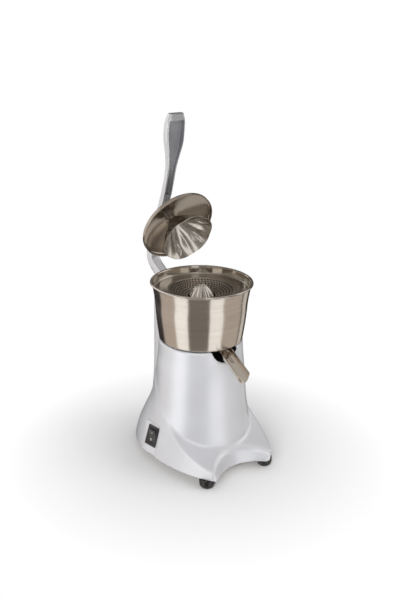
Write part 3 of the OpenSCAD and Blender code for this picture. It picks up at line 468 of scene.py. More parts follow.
# Net of the field: cell size, rounds that settle its points, and how steep and far they go
BODY_STEP, SETTLE_ROUNDS, PROBE, LEAST_SLOPE, FURTHEST = 2.4, 4, 0.05, 0.2, 0.7

# Switch pocket, as in the CAD
SWITCH_Z, SWITCH_Y, SWITCH_SINK, SWITCH_LEAN, SWITCH_TURN = 44.6, 15.2, 3.2, 19.0, 8.0
SWITCH_W, SWITCH_H, POCKET_TOP, POCKET_SIDE, POCKET_ROOF = 25.0, 34.0, 5.0, 6.0, 120
SWITCH_HOLE_HALF_H, SWITCH_HOLE_HALF_W, SWITCH_HOLE_TOP = 15.3, 11.3, 5
switch_u = (SWITCH_Z - BASE_Z) / (SKIRT_TOP - BASE_Z)
switch_x = SWITCH_SINK - SKIRT_TOP_W - (BASE_HALF_W - SKIRT_TOP_W) * (1 - switch_u) ** SKIRT_FLARE
at_switch = (shift(switch_x, SWITCH_Y, SWITCH_Z) @ turn(SWITCH_TURN, "Z")
             @ turn(SWITCH_LEAN - 90, "Y"))


def meet(a, b, k):
    """The smaller of two fields, rounded over k."""
    h = np.clip(k - np.abs(a - b), 0, None) / k
    return np.minimum(a, b) - h * h * k / 4


def both(a, b, k):
    """The larger of two fields, rounded over k."""
    return -meet(-a, -b, k)


def bezier(p, t):
    t = t[:, None]
    return (p[0] * (1 - t) ** 3 + 3 * p[1] * t * (1 - t) ** 2 + 3 * p[2] * t * t * (1 - t)
            + p[3] * t ** 3)


column_line = flowing([(BASE_Z + (BODY_TOP - BASE_Z) * s[1], COLUMN_R * s[0])
                       for s in reversed(COLUMN_SHARES)], 120)
ridge_rise = (RIDGE[3, 1] - RIDGE[2, 1]) / (RIDGE[3, 0] - RIDGE[2, 0])
(low_y, low_rise), (high_y, high_reach) = RIDGE_BEYOND
ridge_line = np.vstack([[low_y, LEG_TIP_Z + low_rise], bezier(RIDGE, np.linspace(0, 1, 80)),
                        [high_y, RIDGE[3, 1] + high_reach * ridge_rise]])


def column_field(x, y, z):
    return np.hypot(x, y) - np.interp(z, column_line[:, 0], column_line[:, 1])


def skirt_field(x, y, z):
    u = np.clip((z - BASE_Z) / (SKIRT_TOP - BASE_Z), 0, 1)
    w = SKIRT_TOP_W + (BASE_HALF_W - SKIRT_TOP_W) * (1 - u) ** SKIRT_FLARE
    rear = (1 + np.cos(np.pi * u)) / 2
    rear = SKIRT_TOP_REAR + (BASE_REAR - SKIRT_TOP_REAR) * rear ** REAR_FLARE
    front = BASE_FRONT + FRONT_LEAN * (z - BASE_Z)
    q = y - BASE_MID
    length = np.where(q > 0, rear, front)
    g = np.sqrt((x / w) ** 2 + (q / length) ** 2) + 1e-6
    return (g - 1) * g / (np.sqrt((x / w ** 2) ** 2 + (q / length ** 2) ** 2) + 1e-6)


def ridge_field(y, z):
    high = np.interp(y, ridge_line[:, 0], ridge_line[:, 1])
    slope = np.interp(y, ridge_line[:, 0], np.gradient(ridge_line[:, 1], ridge_line[:, 0]))
    return (z - high) / np.sqrt(1 + slope ** 2)


def scallop_field(x, y, z):
    return SCALLOP_R + SCALLOP_LEAN * (z - BASE_Z) - np.hypot(x, y - SCALLOP_Y)


def base_field(x, y, z):
    body = both(skirt_field(x, y, z), ridge_field(y, z), RIDGE_ROUND)
    body = both(body, -LEG_REACH - y, LEG_ROUND)
    body = both(body, scallop_field(x, y, z), SCALLOP_ROUND)
    return both(body, z - SKIRT_TOP, CUT_ROUND)


def tower_field(x, y, z):
    u = np.clip((z - BASE_Z) / (SKIRT_TOP - BASE_Z), 0, 1)
    spread = (1 - u) ** 2
    w = TOWER_HALF + TOWER_FOOT_W * spread
    back = TOWER_BACK + TOWER_FOOT_BACK * spread
    c = TOWER_CORNER + TOWER_FOOT_W * spread
    qx, qy = np.abs(x) - w + c, y - back + c
    bar = np.hypot(np.maximum(qx, 0), np.maximum(qy, 0)) + np.minimum(np.maximum(qx, qy), 0) - c
    bar = np.maximum(bar, TOWER_INNER - y)
    fall = TOWER_FALL * np.maximum(y - PIVOT[1] - TOWER_LEVEL, 0)
    bar = both(bar, (z - TOWER_TOP + fall) / TOWER_FALL_SCALE, TOWER_ROUND)
    room = (FLOOR_R + BOWL_ROOM_FOOT + (RIM_R - BOWL_ROOM_RIM - FLOOR_R) * (z - BODY_TOP)
            / (RIM_Z - 1 - BODY_TOP))
    beside = z > BODY_TOP - BOWL_ROOM_LOW
    return both(bar, np.where(beside, room - np.hypot(x, y), -FAR), EDGE_ROUND)


def hollow_field(x, y, z):
    column = np.maximum(column_field(x, y, z) + WALL, z - BODY_TOP + COLUMN_ROOF)
    skirt = np.maximum(base_field(x, y, z) + WALL, z - SKIRT_TOP + SKIRT_ROOF)
    return np.minimum(column, skirt)


def pocket_field(x, y, z):
    """The flat let into the left flank for the switch, open to the rear and the bottom."""
    to = np.array(at_switch.inverted())
    a, b, c = (to[i, 0] * x + to[i, 1] * y + to[i, 2] * z + to[i, 3] for i in range(3))
    return np.maximum.reduce([a - SWITCH_H / 2 - POCKET_TOP, -b - SWITCH_W / 2 - POCKET_SIDE, -c])


def notch_field(x, y, z, grow=0.0):
    return np.maximum(np.hypot(x, z - NOTCH_Z) - NOTCH_R - grow, y + NOTCH_BACK - grow)


def body_field(p):
    """The whole casting: base, column and tower, less hollow, pocket, notch, seat and slot."""
    x, y, z = p[..., 0], p[..., 1], p[..., 2]
    column = np.maximum(column_field(x, y, z), BASE_Z + COLUMN_FOOT - z)
    body = meet(base_field(x, y, z), column, COLUMN_MEET)
    body = both(body, z - BODY_TOP, TOP_ROUND)
    body = meet(body, tower_field(x, y, z), TOWER_MEET)
    trough = np.maximum(column, notch_field(x, y, z, WALL))
    pocket = pocket_field(x, y, z)
    hollow = np.maximum.reduce([hollow_field(x, y, z), -trough, POCKET_WALL - pocket])
    body = both(body, -hollow, HOLLOW_ROUND)
    body = both(body, -np.where(z < POCKET_ROOF, pocket, FAR), CUT_ROUND)
    body = both(body, -notch_field(x, y, z), CUT_ROUND)
    r = np.hypot(x, y)
    body = np.maximum(body, -np.maximum(r - COLUMN_R + RECESS_RIM, BODY_TOP - RECESS_DEPTH - z))
    body = np.maximum(body, -np.maximum(r - SHAFT_HOLE_R, BODY_TOP - SHAFT_HOLE_DEPTH - z))
    floor = np.maximum(ARM_FLOOR, ARM_FLOOR_REAR + ARM_FLOOR_RISE * (y - PIVOT[1]))
    slot = np.maximum(np.abs(x) - ARM_HALF_W - ARM_GAP, PIVOT[2] + floor - z)
    slot = np.maximum(slot, PIVOT[1] - ARM_SLOT_FRONT - y)
    body = both(body, -slot, EDGE_ROUND)
    return both(body, BASE_Z - z, EDGE_ROUND)


def skin(field, low, high, step):
    """Points and faces of a field's zero surface, one point in each cell that it crosses."""
    axes = [np.arange(a - 2 * step, b + 2 * step, step) for a, b in zip(low, high)]
    grid = np.stack(np.meshgrid(*axes, indexing="ij"), -1)
    value = field(grid)
    inside = value < 0
    corners_at = [(i, j, k) for i in (0, 1) for j in (0, 1) for k in (0, 1)]
    size = [n - 1 for n in inside.shape]

    def part(array, at):
        return array[at[0]:at[0] + size[0], at[1]:at[1] + size[1], at[2]:at[2] + size[2]]

    count = sum(part(inside, at).astype(int) for at in corners_at)
    cells = np.argwhere((count > 0) & (count < 8))
    number = np.full(size, -1)
    number[tuple(cells.T)] = np.arange(len(cells))
    total, hits = np.zeros((len(cells), 3)), np.zeros(len(cells))
    for a in corners_at:
        for d in range(3):
            if a[d]:
                continue
            b = tuple(v + (n == d) for n, v in enumerate(a))
            ca, cb = tuple((cells + a).T), tuple((cells + b).T)
            va, vb = value[ca], value[cb]
            cross = (va < 0) != (vb < 0)
            t = np.where(cross, va / np.where(cross, va - vb, 1), 0)[:, None]
            total += np.where(cross[:, None], grid[ca] * (1 - t) + grid[cb] * t, 0)
            hits += cross
    points = total / hits[:, None]
    faces = []
    for d in range(3):
        e, f = (d + 1) % 3, (d + 2) % 3
        cut = [slice(1, -1)] * 3
        cut[d] = slice(0, -1)
        first, second = inside[tuple(cut)], np.roll(inside, -1, d)[tuple(cut)]
        for way, sign in ((first & ~second, 1), (~first & second, -1)):
            at = np.argwhere(way) + 1
            at[:, d] -= 1
            ring = []
            for de, df in ((-1, -1), (0, -1), (0, 0), (-1, 0))[::sign]:
                cell = at.copy()
                cell[:, e] += de
                cell[:, f] += df
                ring.append(number[tuple(cell.T)])
            faces += np.stack(ring, 1).tolist()
    return settle_on(field, points, step), faces


def settle_on(field, points, step):
    """Moves the points onto the field's zero surface."""
    start = points.copy()
    for _ in range(SETTLE_ROUNDS):
        value = field(points)
        slope = np.stack([(field(points + PROBE * axis) - field(points - PROBE * axis))
                          / (2 * PROBE) for axis in np.eye(3)], -1)
        steep = np.maximum((slope ** 2).sum(1, keepdims=True), LEAST_SLOPE)
        points = points - value[:, None] * slope / steep
        points = start + np.clip(points - start, -step * FURTHEST, step * FURTHEST)
    return points


def make_body():
    high = np.maximum(body_high, corners("pivot_post")[1])
    points, faces = skin(body_field, body_low, high, BODY_STEP)
    body = solid("body_shell", points, faces, silver_paint)
    h, w = SWITCH_HOLE_HALF_H, SWITCH_HOLE_HALF_W
    hole = block("hole", (-h, -w, -THROUGH), (h, w, SWITCH_HOLE_TOP), silver_paint, at_switch)
    pin_hole = rod("pin_hole", PIVOT_HOLE_R, -THROUGH, THROUGH, silver_paint,
                   shift(0, PIVOT[1], PIVOT[2]) @ turn(90, "Y"))
    gland_y = corners("cable_gland")[0][1]
    gland_hole = rod("gland_hole", GLAND_HOLE_R, *GLAND_HOLE_Y, silver_paint,
                     shift(0, gland_y, GLAND_Z) @ turn(-90, "X"))
    carve(body, [hole, pin_hole, gland_hole], sharp=38)
    mesh = body.data
    # The faces inside the notch take the near-black finish: painted shade in the hollow
    mesh.materials.append(notch_painted_shade)
    for face in mesh.polygons:
        c = np.array(face.center) / MM
        front = -np.sqrt(max(COLUMN_R ** 2 - c[0] ** 2, 0))
        if (c[1] < NOTCH_PAINT_Y and np.hypot(c[0], c[2] - NOTCH_Z) < NOTCH_R + NOTCH_PAINT_R
                and c[1] > front + NOTCH_LIP - 2 * abs(face.normal.y)):
            face.material_index = 1
    stand_for(body, "body_casting", "pivot_post")


# Bowl: spun wall, rolled rim and polished inside
BOWL_SHARES = [(0.025, 0.796), (0.111, 0.7), (0.141, 0.666), (0.253, 0.541), (0.354, 0.456),
               (0.505, 0.382), (0.677, 0.275), (0.859, 0.122), (0.97, 0.014), (0.992, -0.043)]
SHEET, BEAD, BEAD_ARC, FLOOR_ROUND = 1.2, 2.2, (-60, 200, 26), 2
CHIMNEY_R, CHIMNEY_T, CHIMNEY_TOP = 11.5, 1.5, RIM_Z - 40
INSIDE_R, INSIDE_LEAN = RIM_R - 2.6, 0.2


def bowl_outline():
    height = RIM_Z - BOWL_Z
    return flowing([(FLOOR_R + (RIM_R - FLOOR_R) * s[1], RIM_Z - height * s[0])
                    for s in BOWL_SHARES], 70)


def make_bowl():
    out = [tuple(p) for p in bowl_outline()]
    roll = arc((RIM_R - BEAD, RIM_Z - BEAD), BEAD, *BEAD_ARC)
    inner = [(r - SHEET, z) for r, z in out]
    corner, hole_r = out[-1][0] - FLOOR_ROUND, CHIMNEY_R - CHIMNEY_T
    line = ([(hole_r, BOWL_Z), (corner, BOWL_Z)] + out[::-1] + roll + inner
            + [(corner, BOWL_Z + SHEET), (CHIMNEY_R, BOWL_Z + SHEET), (CHIMNEY_R, CHIMNEY_TOP),
               (hole_r, CHIMNEY_TOP)])
    bowl = turned("bowl_wall", line, bowl_steel, 256, sharp=40)
    bowl.data.materials.append(spun_inside)
    for face in bowl.data.polygons:
        c = face.center
        r = math.hypot(c.x, c.y)
        if face.normal.x * c.x + face.normal.y * c.y < INSIDE_LEAN * r and r < INSIDE_R * MM:
            face.material_index = 1
    stand_for(bowl, "juice_bowl")


# Strainer, with holes set out in rings by Geometry Nodes
STRAINER_DEPTH, STRAINER_T, STRAINER_HOLE_R, DISH_SLOPE = 15.0, 0.7, 23.0, 20.0
FLANGE_RISE, FLANGE_RUN, FLANGE_ROUND = 3, 0.6, 1.2
RING_R, RING_FOOT, RING_CROWN_R, RING_SINK, RING_ARC = 56.0, 3.0, 2.2, 1.0, (55, 125, 8)
HOLE_D, HOLE_PITCH, HOLE_FIRST, HOLE_ROWS = 3.1, 5.3, 26.8, 6
ROW_SHARE, ROW_TURN, PIN_SIDES, PIN_H, PIN_SINK = 0.9, 0.9, 12, 40, 5


def hole_rings_tree():
    """A node tree that stands pins on concentric rings: Radius, Pitch, Rows, Pin, Height."""
    tree = bpy.data.node_groups.new("hole_rings", "GeometryNodeTree")
    for label, kind in (("Radius", "Float"), ("Pitch", "Float"), ("Rows", "Int"),
                        ("Pin", "Float"), ("Height", "Float"), ("Material", "Material")):
        tree.interface.new_socket(label, in_out="INPUT", socket_type="NodeSocket" + kind)
    tree.interface.new_socket("Geometry", in_out="OUTPUT", socket_type="NodeSocketGeometry")

    def calc(operation, *values):
        return add(tree, "ShaderNodeMath", dict(enumerate(values)), operation=operation).outputs[0]

    given = add(tree, "NodeGroupInput").outputs
    line = add(tree, "GeometryNodeMeshLine", {"Count": given["Rows"]})
    each = add(tree, "GeometryNodeForeachGeometryElementInput")
    done = add(tree, "GeometryNodeForeachGeometryElementOutput")
    each.pair_with_output(done)
    tree.links.new(line.outputs["Mesh"], each.inputs["Geometry"])
    row = each.outputs["Index"]
    ring = calc("ADD", given["Radius"],
                calc("MULTIPLY", row, calc("MULTIPLY", given["Pitch"], ROW_SHARE)))
    holes = calc("ROUND", calc("DIVIDE", calc("MULTIPLY", ring, 2 * math.pi), given["Pitch"]))
    circle = add(tree, "GeometryNodeMeshCircle", {"Vertices": holes, "Radius": ring})
    spin = add(tree, "ShaderNodeCombineXYZ", {"Z": calc("MULTIPLY", row, ROW_TURN)})
    turned_ring = add(tree, "GeometryNodeTransform", {"Geometry": circle.outputs["Mesh"],
                                                      "Rotation": spin.outputs["Vector"]})
    tree.links.new(turned_ring.outputs["Geometry"], done.inputs["Geometry"])
    pin = add(tree, "GeometryNodeMeshCylinder", {
        "Vertices": PIN_SIDES, "Radius": given["Pin"], "Depth": given["Height"]})
    stand = add(tree, "GeometryNodeInstanceOnPoints", {"Points": done.outputs[2],
                                                       "Instance": pin.outputs["Mesh"]})
    real = add(tree, "GeometryNodeRealizeInstances", {"Geometry": stand.outputs["Instances"]})
    paint = add(tree, "GeometryNodeSetMaterial", {"Geometry": real.outputs["Geometry"],
                                                  "Material": given["Material"]})
    add(tree, "NodeGroupOutput", {"Geometry": paint.outputs["Geometry"]})
    return tree


def pins(name, **values):
    """The pins of hole_rings_tree as an object."""
    made = solid(name, [], [], polished_steel)
    tree = hole_rings_tree()
    step = made.modifiers.new("rings", "NODES")
    step.node_group = tree
    for item in tree.interface.items_tree:
        if item.in_out == "INPUT" and item.name in values:
            step[item.identifier] = values[item.name]
    return settle(made)


def make_strainer():
    z, t = RIM_Z - STRAINER_DEPTH, STRAINER_T
    fall = math.tan(math.radians(DISH_SLOPE))
    high = corners("strainer")[1][0]
    low = high - FLANGE_RUN
    top = ([(high - t, z + FLANGE_RISE), (low - FLANGE_ROUND, z + FLANGE_ROUND),
            (RING_R + RING_FOOT, z + t)]
           + arc((RING_R, z + t - RING_SINK), RING_CROWN_R, *RING_ARC)
           + [(RING_R - RING_FOOT, z + t / 2),
              (STRAINER_HOLE_R, z + t / 2 - (RING_R - RING_FOOT - STRAINER_HOLE_R) * fall)])
    line = top + [(r, h - t) for r, h in top[::-1][:-2]] + [(low, z), (high, z + FLANGE_RISE)]
    dish = turned("strainer_dish", line[::-1], strainer_steel, 192)
    holes = pins("pins", Radius=HOLE_FIRST * MM, Pitch=HOLE_PITCH * MM, Rows=HOLE_ROWS,
                 Pin=HOLE_D / 2 * MM, Height=PIN_H * MM, Material=polished_steel)
    put(holes, shift(0, 0, z - PIN_SINK))
    carve(dish, [holes])
    stand_for(dish, "strainer")


# Reamer: ribbed cone with a low knob
RIBS, RIB_STEPS, REAMER_LEVELS = 8, 20, 26
REAMER_R, REAMER_TIP_R, REAMER_H, REAMER_DEPTH, REAMER_SWELL = 21.0, 1.6, 21.0, 4.5, 0.62
GROOVE, GROOVE_FADE, RIB_EDGE = 0.12, 0.35, 1.1
HUB_R, HUB_FOOT, HUB_LAP, KNOB_U = (15.5, 17.6), 46, 0.5, 0.86
# Radius and depth below the tip
STEM = [(0, 7), (4.8, 7), (4.8, 3.4)]
KNOB = [(6.0, 2.8), (5.3, 1.4), (3.0, 0.4), (0, 0)]


def make_reamer():
    around = RIBS * RIB_STEPS
    a = np.linspace(0, 2 * np.pi, around, endpoint=False)
    rib = 1 - np.abs(np.cos(RIBS / 2 * a)) ** RIB_EDGE
    tip = RIM_Z - REAMER_DEPTH
    foot = tip - REAMER_H
    points = []
    for u in np.linspace(0, KNOB_U, REAMER_LEVELS):
        r = REAMER_TIP_R + (REAMER_R - REAMER_TIP_R) * (1 - u) ** REAMER_SWELL
        r = r * (1 - GROOVE * (1 - u) ** GROOVE_FADE * rib)
        points += list(np.stack([r * np.cos(a), r * np.sin(a),
                                 np.full(around, foot + REAMER_H * u)], 1))
    cone = solid("reamer_cone", points, rows(REAMER_LEVELS, around) + ends(REAMER_LEVELS, around),
                 satin_steel)
    knob = turned("knob", [(r, tip - depth) for r, depth in STEM]
                  + flowing([(r, tip - depth) for r, depth in KNOB], 14).tolist(),
                  satin_steel, 48, closed=False)
    inner, outer = HUB_R
    hub = turned("hub", [(inner, RIM_Z - HUB_FOOT), (outer, RIM_Z - HUB_FOOT),
                         (outer, foot + HUB_LAP), (inner, foot + HUB_LAP)], satin_steel, 96)
    join(cone, [knob, hub], 40)
    stand_for(cone, "reamer")


# Cup: dish and six-lobed bell in their own frame, with +Z towards the pin
CUP_TILT, CUP_PIN_H = 63.6, 36.0
DISH_R, DISH_FLAT_R, DISH_FLAT_Z, DISH_LIP, DISH_CONE = 65.75, 13.0, 22.4, 2.5, 0.55
CUP_SHEET, LIP_R, BOLT_R = 1.2, 0.7, 3.02
at_cup = shift(0, HINGE[1], HINGE[2]) @ turn(-CUP_TILT, "X") @ shift(0, 0, -CUP_PIN_H)
LOBES, LOBE_STEPS, BELL_LEVELS = 6, 56, 100
BELL_R, BELL_DROP, BELL_FOLD, CREASE = 46.5, 32.5, 0.12, 0.18
# Height, radius and depth of the folds, as shares
BELL_SHARES = [(0.408, 0.18, 0), (0.36, 0.26, 0.15), (0.23, 0.352, 0.4), (0.086, 0.443, 0.65),
               (-0.086, 0.552, 0.85), (-0.287, 0.67, 1), (-0.517, 0.777, 0.95),
               (-0.776, 0.893, 0.65), (-1, 1, 0.4)]
SLOT_MID, SLOT_HALF, SLOT_R, SLOT_CUT = -17.5, 7.5, 1.5, (10, 70)
SLOT_RIM, SLOT_RISE, SLOT_RIM_AT, SLOT_RIM_W = (4.5, 10.0), 1.2, 0.85, 0.3


def make_dish():
    def bow(r, z, count=40):
        """From the rim to the flat, between a quarter ellipse and a straight cone."""
        return [(DISH_FLAT_R + (r - DISH_FLAT_R) * math.cos(a), DISH_LIP + (z - DISH_LIP)
                 * (DISH_CONE * (1 - math.cos(a)) + (1 - DISH_CONE) * math.sin(a)))
                for a in np.linspace(0, math.pi / 2, count)]

    lip = arc((DISH_R - CUP_SHEET / 2 - 0.1, -DISH_LIP + LIP_R), LIP_R, 180, 360, 10)
    under = DISH_FLAT_Z - CUP_SHEET
    line = (lip + bow(DISH_R, DISH_FLAT_Z) + [(BOLT_R, DISH_FLAT_Z), (BOLT_R, under)]
            + bow(DISH_R - CUP_SHEET, under)[::-1])
    dish = turned("dish", line, dish_steel, 256)
    put(dish, at_cup)
    stand_for(dish, "splash_dish")


def make_bell():
    around = LOBES * LOBE_STEPS
    line = flowing([(s[0] * BELL_DROP, s[1] * BELL_R, s[2]) for s in BELL_SHARES], BELL_LEVELS)
    a = np.linspace(0, 2 * np.pi, around, endpoint=False)
    wave = (np.cos(LOBES / 2 * (a - np.pi / 2)) ** 2 + CREASE ** 2) ** 0.5
    off = (a - np.pi / 2 + np.pi / LOBES) % (2 * np.pi / LOBES) - np.pi / LOBES
    points = []
    for z, r, fold in line:
        radius = r * (1 - BELL_FOLD * fold * (1 - wave))
        e = np.abs(off * radius / SLOT_RIM[0]) + ((z - SLOT_MID) / SLOT_RIM[1]) ** 2
        radius = radius - SLOT_RISE * np.exp(-((e - SLOT_RIM_AT) / SLOT_RIM_W) ** 2)
        points += list(np.stack([radius * np.cos(a), radius * np.sin(a), np.full(around, z)], 1))
    # The rings run downwards, so each face is turned to look outwards
    faces = [(p, s, r, q) for p, q, r, s in rows(BELL_LEVELS, around)]
    bell = solid("bell", points, faces, satin_steel)
    wall = bell.modifiers.new("wall", "SOLIDIFY")
    wall.thickness = CUP_SHEET * MM
    wall.offset = -1
    settle(bell)
    oval = [(SLOT_R * math.sin(t), SLOT_MID + SLOT_HALF * math.cos(t))
            for t in np.linspace(0, 2 * math.pi, 40, endpoint=False)]
    slots = []
    for i in range(LOBES):
        slot = solid("slot", [(x, y, z) for x in SLOT_CUT for y, z in oval],
                     rows(2, len(oval)) + ends(2, len(oval)), satin_steel)
        put(slot, turn(90 + 360 / LOBES * i, "Z"))
        slots.append(slot)
    carve(bell, [join(slots[0], slots[1:])])
    put(bell, at_cup)
    stand_for(bell, "press_bell")


# Lever arm: a cast bar with an open channel, lofted through its stations
ARM_SHARES = [
    (0.016, 0.009, 0.514, 1.03), (0.075, 0.044, 0.514, 1.03), (0.139, 0.081, 0.514, 1.02),
    (0.172, 0.112, 0.514, 1), (0.183, 0.145, 0.514, 0.95), (0.172, 0.184, 0.509, 0.89),
    (0.146, 0.25, 0.5, 0.82), (0.112, 0.34, 0.491, 0.72), (0.08, 0.432, 0.486, 0.65),
    (0.038, 0.538, 0.486, 0.58), (0.009, 0.632, 0.486, 0.55), (0, 0.668, 0.497, 0.54),
    (-0.009, 0.706, 0.543, 0.54), (-0.019, 0.75, 0.657, 0.56), (-0.028, 0.798, 0.8, 0.7),
    (-0.033, 0.842, 0.94, 0.79), (-0.036, 0.886, 1, 0.8), (-0.041, 0.93, 1, 0.76),
    (-0.048, 0.965, 0.95, 0.66), (-0.055, 1, 0.78, 0.46)]
ARM_H, GRIP_HALF_W = 295.0, 17.5
ARM_FINE, ARM_RINGS, ARM_SIDES, ARM_CORNER, ARM_EDGE = 400, 110, 48, 0.34, 0.7
CHANNEL_FIRST, CHANNEL_LAST, CHANNEL_WALL, CHANNEL_BACK = 9, 18, 2.8, 3.6
CHANNEL_RINGS, CHANNEL_ROUND = 70, 2.0
LUG_X, LUG_T, LUG_R = 5.5, 3.0, 6.5
LUG_ROOT = ((0.075, 0.475), (0.105, 0.375))
BOSS_R, BUSH_HOLE_R, CUP_PIN_R = 11, 5.6, 3


def arm_stations(first, last, count):
    """Centres, directions, half widths and depths between two stations of the arm."""
    s = flowing(ARM_SHARES, ARM_FINE)
    t = np.linspace(first, last, count) * (ARM_FINE - 1) / (len(ARM_SHARES) - 1)
    s = np.stack([np.interp(t, np.arange(ARM_FINE), s[:, k]) for k in range(4)], 1)
    centre = PIVOT[1:] + ARM_H * s[:, :2]
    way = np.gradient(centre, axis=0)
    way /= np.linalg.norm(way, axis=1, keepdims=True)
    return centre, way, GRIP_HALF_W * s[:, 2], GRIP_HALF_W * s[:, 3]


def arm_place(centre, way, x, q):
    return np.stack([x, centre[0] - q * way[1], centre[1] + q * way[0]], 1)


def tube(name, rings, finish):
    """A closed solid through rings of equal count."""
    count, around = len(rings), len(rings[0])
    made = solid(name, np.vstack(rings), rows(count, around) + ends(count, around), finish)
    with opened(made.data) as shape:
        bmesh.ops.recalc_face_normals(shape, faces=shape.faces)
    return made


def round_edges(made, width, segments, angle):
    """A bevel on the edges sharper than the angle."""
    edge = made.modifiers.new("edge", "BEVEL")
    edge.width = width * MM
    edge.segments = segments
    edge.limit_method = "ANGLE"
    edge.angle_limit = math.radians(angle)


def make_arm():
    a = 2 * np.pi * (np.arange(ARM_SIDES) + 0.5) / ARM_SIDES
    rings = []
    for c, d, w, t in zip(*arm_stations(0, len(ARM_SHARES) - 1, ARM_RINGS)):
        x = w * np.sign(np.cos(a)) * np.abs(np.cos(a)) ** ARM_CORNER
        q = -t / 2 * np.sign(np.sin(a)) * np.abs(np.sin(a)) ** ARM_CORNER
        rings.append(arm_place(c, d, x, q))
    arm = tube("arm", rings, cast_aluminium)
    rings = []
    for c, d, w, t in zip(*arm_stations(CHANNEL_FIRST, CHANNEL_LAST, CHANNEL_RINGS)):
        w, low = w - CHANNEL_WALL, CHANNEL_BACK - t / 2
        outline = np.array(rounded([(-w, low), (w, low), (w, t), (-w, t)], CHANNEL_ROUND, 5))
        rings.append(arm_place(c, d, outline[:, 0], outline[:, 1]))
    # The channel's faces pass the darker cast finish on to the arm: painted shade inside the
    # channel
    channel = tube("channel", rings, channel_painted_shade)
    across = shift(0, PIVOT[1], PIVOT[2]) @ turn(90, "Y")
    boss = rod("boss", BOSS_R, -ARM_HALF_W, ARM_HALF_W, cast_aluminium, across, 64)
    side = arc((HINGE[1], HINGE[2]), LUG_R, 90, 270, 16)
    side += [tuple(PIVOT[1:] + ARM_H * np.array(s)) for s in reversed(LUG_ROOT)]
    lugs = [tube("lug", [np.array([(x + dx, y, z) for y, z in side]) for dx in (0, LUG_T)],
                 cast_aluminium) for x in (-LUG_X - LUG_T, LUG_X)]
    carve(arm, [channel])
    carve(arm, [boss] + lugs, "UNION")
    hole = rod("hole", BUSH_HOLE_R, -THROUGH, THROUGH, cast_aluminium, across)
    pin_hole = rod("pin_hole", CUP_PIN_R, -THROUGH, THROUGH, cast_aluminium,
                   shift(0, HINGE[1], HINGE[2]) @ turn(90, "Y"))
    carve(arm, [hole, pin_hole])
    round_edges(arm, ARM_EDGE, 3, 40)
    settle(arm, 40)
    stand_for(arm, "lever_arm")


# Feet: domed rubber with a sunk screw
FOOT_R, FOOT_H, FOOT_SCREW_R, FOOT_HOLE_R, FOOT_SINK = 13.0, 15.0, 2.8, 4.9, 5.0
FOOT_SHARES = ((0.6, 0.0), (0.8, 0.07), (0.93, 0.27), (1, 0.6), (0.96, 1))


def make_feet():
    line = flowing([(FOOT_R * r, FOOT_H * z) for r, z in FOOT_SHARES], 30)
    line = [tuple(p) for p in line] + [(FOOT_SCREW_R, FOOT_H), (FOOT_SCREW_R, FOOT_SINK),
                                       (FOOT_HOLE_R, FOOT_SINK), (FOOT_HOLE_R, 0)]
    low, high = corners("rubber_feet")
    feet = []
    for x in (low[0] + FOOT_R, high[0] - FOOT_R):
        for y in (low[1] + FOOT_R, high[1] - FOOT_R):
            foot = turned("foot", line, black_rubber, 64)
            put(foot, shift(x, y, 0))
            feet.append(foot)
    stand_for(join(feet[0], feet[1:]), "rubber_feet")


# Small fittings: softened copies of their CAD nodes
FITTINGS = ("bowl_spout", "switch_frame", "switch_rocker", "cup_yoke", "bell_bolt", "pivot_pin",
            "cable_gland")
FITTING_WELD, FITTING_EDGE = 2e-6, 0.3


def refine(node):
    """A welded, smooth copy of a CAD node with small rounded edges, in its place."""
    made = nodes[node].copy()
    made.data = nodes[node].data.copy()
    made.name = node + "_finished"
    made.parent = None
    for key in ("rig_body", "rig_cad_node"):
        del made[key]
    bpy.context.scene.collection.objects.link(made)
    with opened(made.data) as shape:
        bmesh.ops.remove_doubles(shape, verts=shape.verts, dist=FITTING_WELD)
    round_edges(made, FITTING_EDGE, 2, 50)
    settle(made)
    stand_for(made, node)


# Marks on the rocker, whose face dips from its edges to its waist
ROCKER_R, ROCKER_EDGE, ROCKER_WAIST, ROCKER_TILT, ROCKER_SINK = 11.6, 4.6, 2.9, 7.0, 1
MARK_HALF_L, MARK_HALF_W, MARK_RING, MARK_LOW, MARK_HIGH = 1.9, 0.4, (1.3, 2.0), -0.2, 0.08


def make_marks():
    """The line and ring that mark on and off on the rocker."""
    lean = math.degrees(math.atan2(ROCKER_EDGE - ROCKER_WAIST, ROCKER_R))
    high = (ROCKER_EDGE + ROCKER_WAIST) / 2
    face = at_switch @ shift(0, 0, -ROCKER_SINK) @ turn(-ROCKER_TILT, "Y")
    line = block("mark_on", (-MARK_HALF_L, -MARK_HALF_W, MARK_LOW),
                 (MARK_HALF_L, MARK_HALF_W, MARK_HIGH), mark_white,
                 face @ shift(ROCKER_R / 2, 0, high) @ turn(-lean, "Y"))
    inner, outer = MARK_RING
    ring = turned("mark_off", rounded([(inner, MARK_LOW), (outer, MARK_LOW), (outer, MARK_HIGH),
                                       (inner, MARK_HIGH)], 0.05, 3), mark_white, 32)
    put(ring, face @ shift(-ROCKER_R / 2, 0, high) @ turn(lean, "Y"))
    for made in (line, ring):
        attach(made, "rocker")


make_body()
make_bowl()
make_strainer()
make_reamer()
make_dish()
make_bell()
make_arm()
make_feet()
make_marks()
for fitting in FITTINGS:
    refine(fitting)


# Studio

def glow_of(name, colour):
    made = bpy.data.materials.new(name)
    made.use_nodes = True
    tree = made.node_tree
    tree.nodes.clear()
    glow = add(tree, "ShaderNodeEmission", {"Color": (*colour, 1), "Strength": 1.0})
    add(tree, "ShaderNodeOutputMaterial", {"Surface": glow.outputs["Emission"]})
    return made


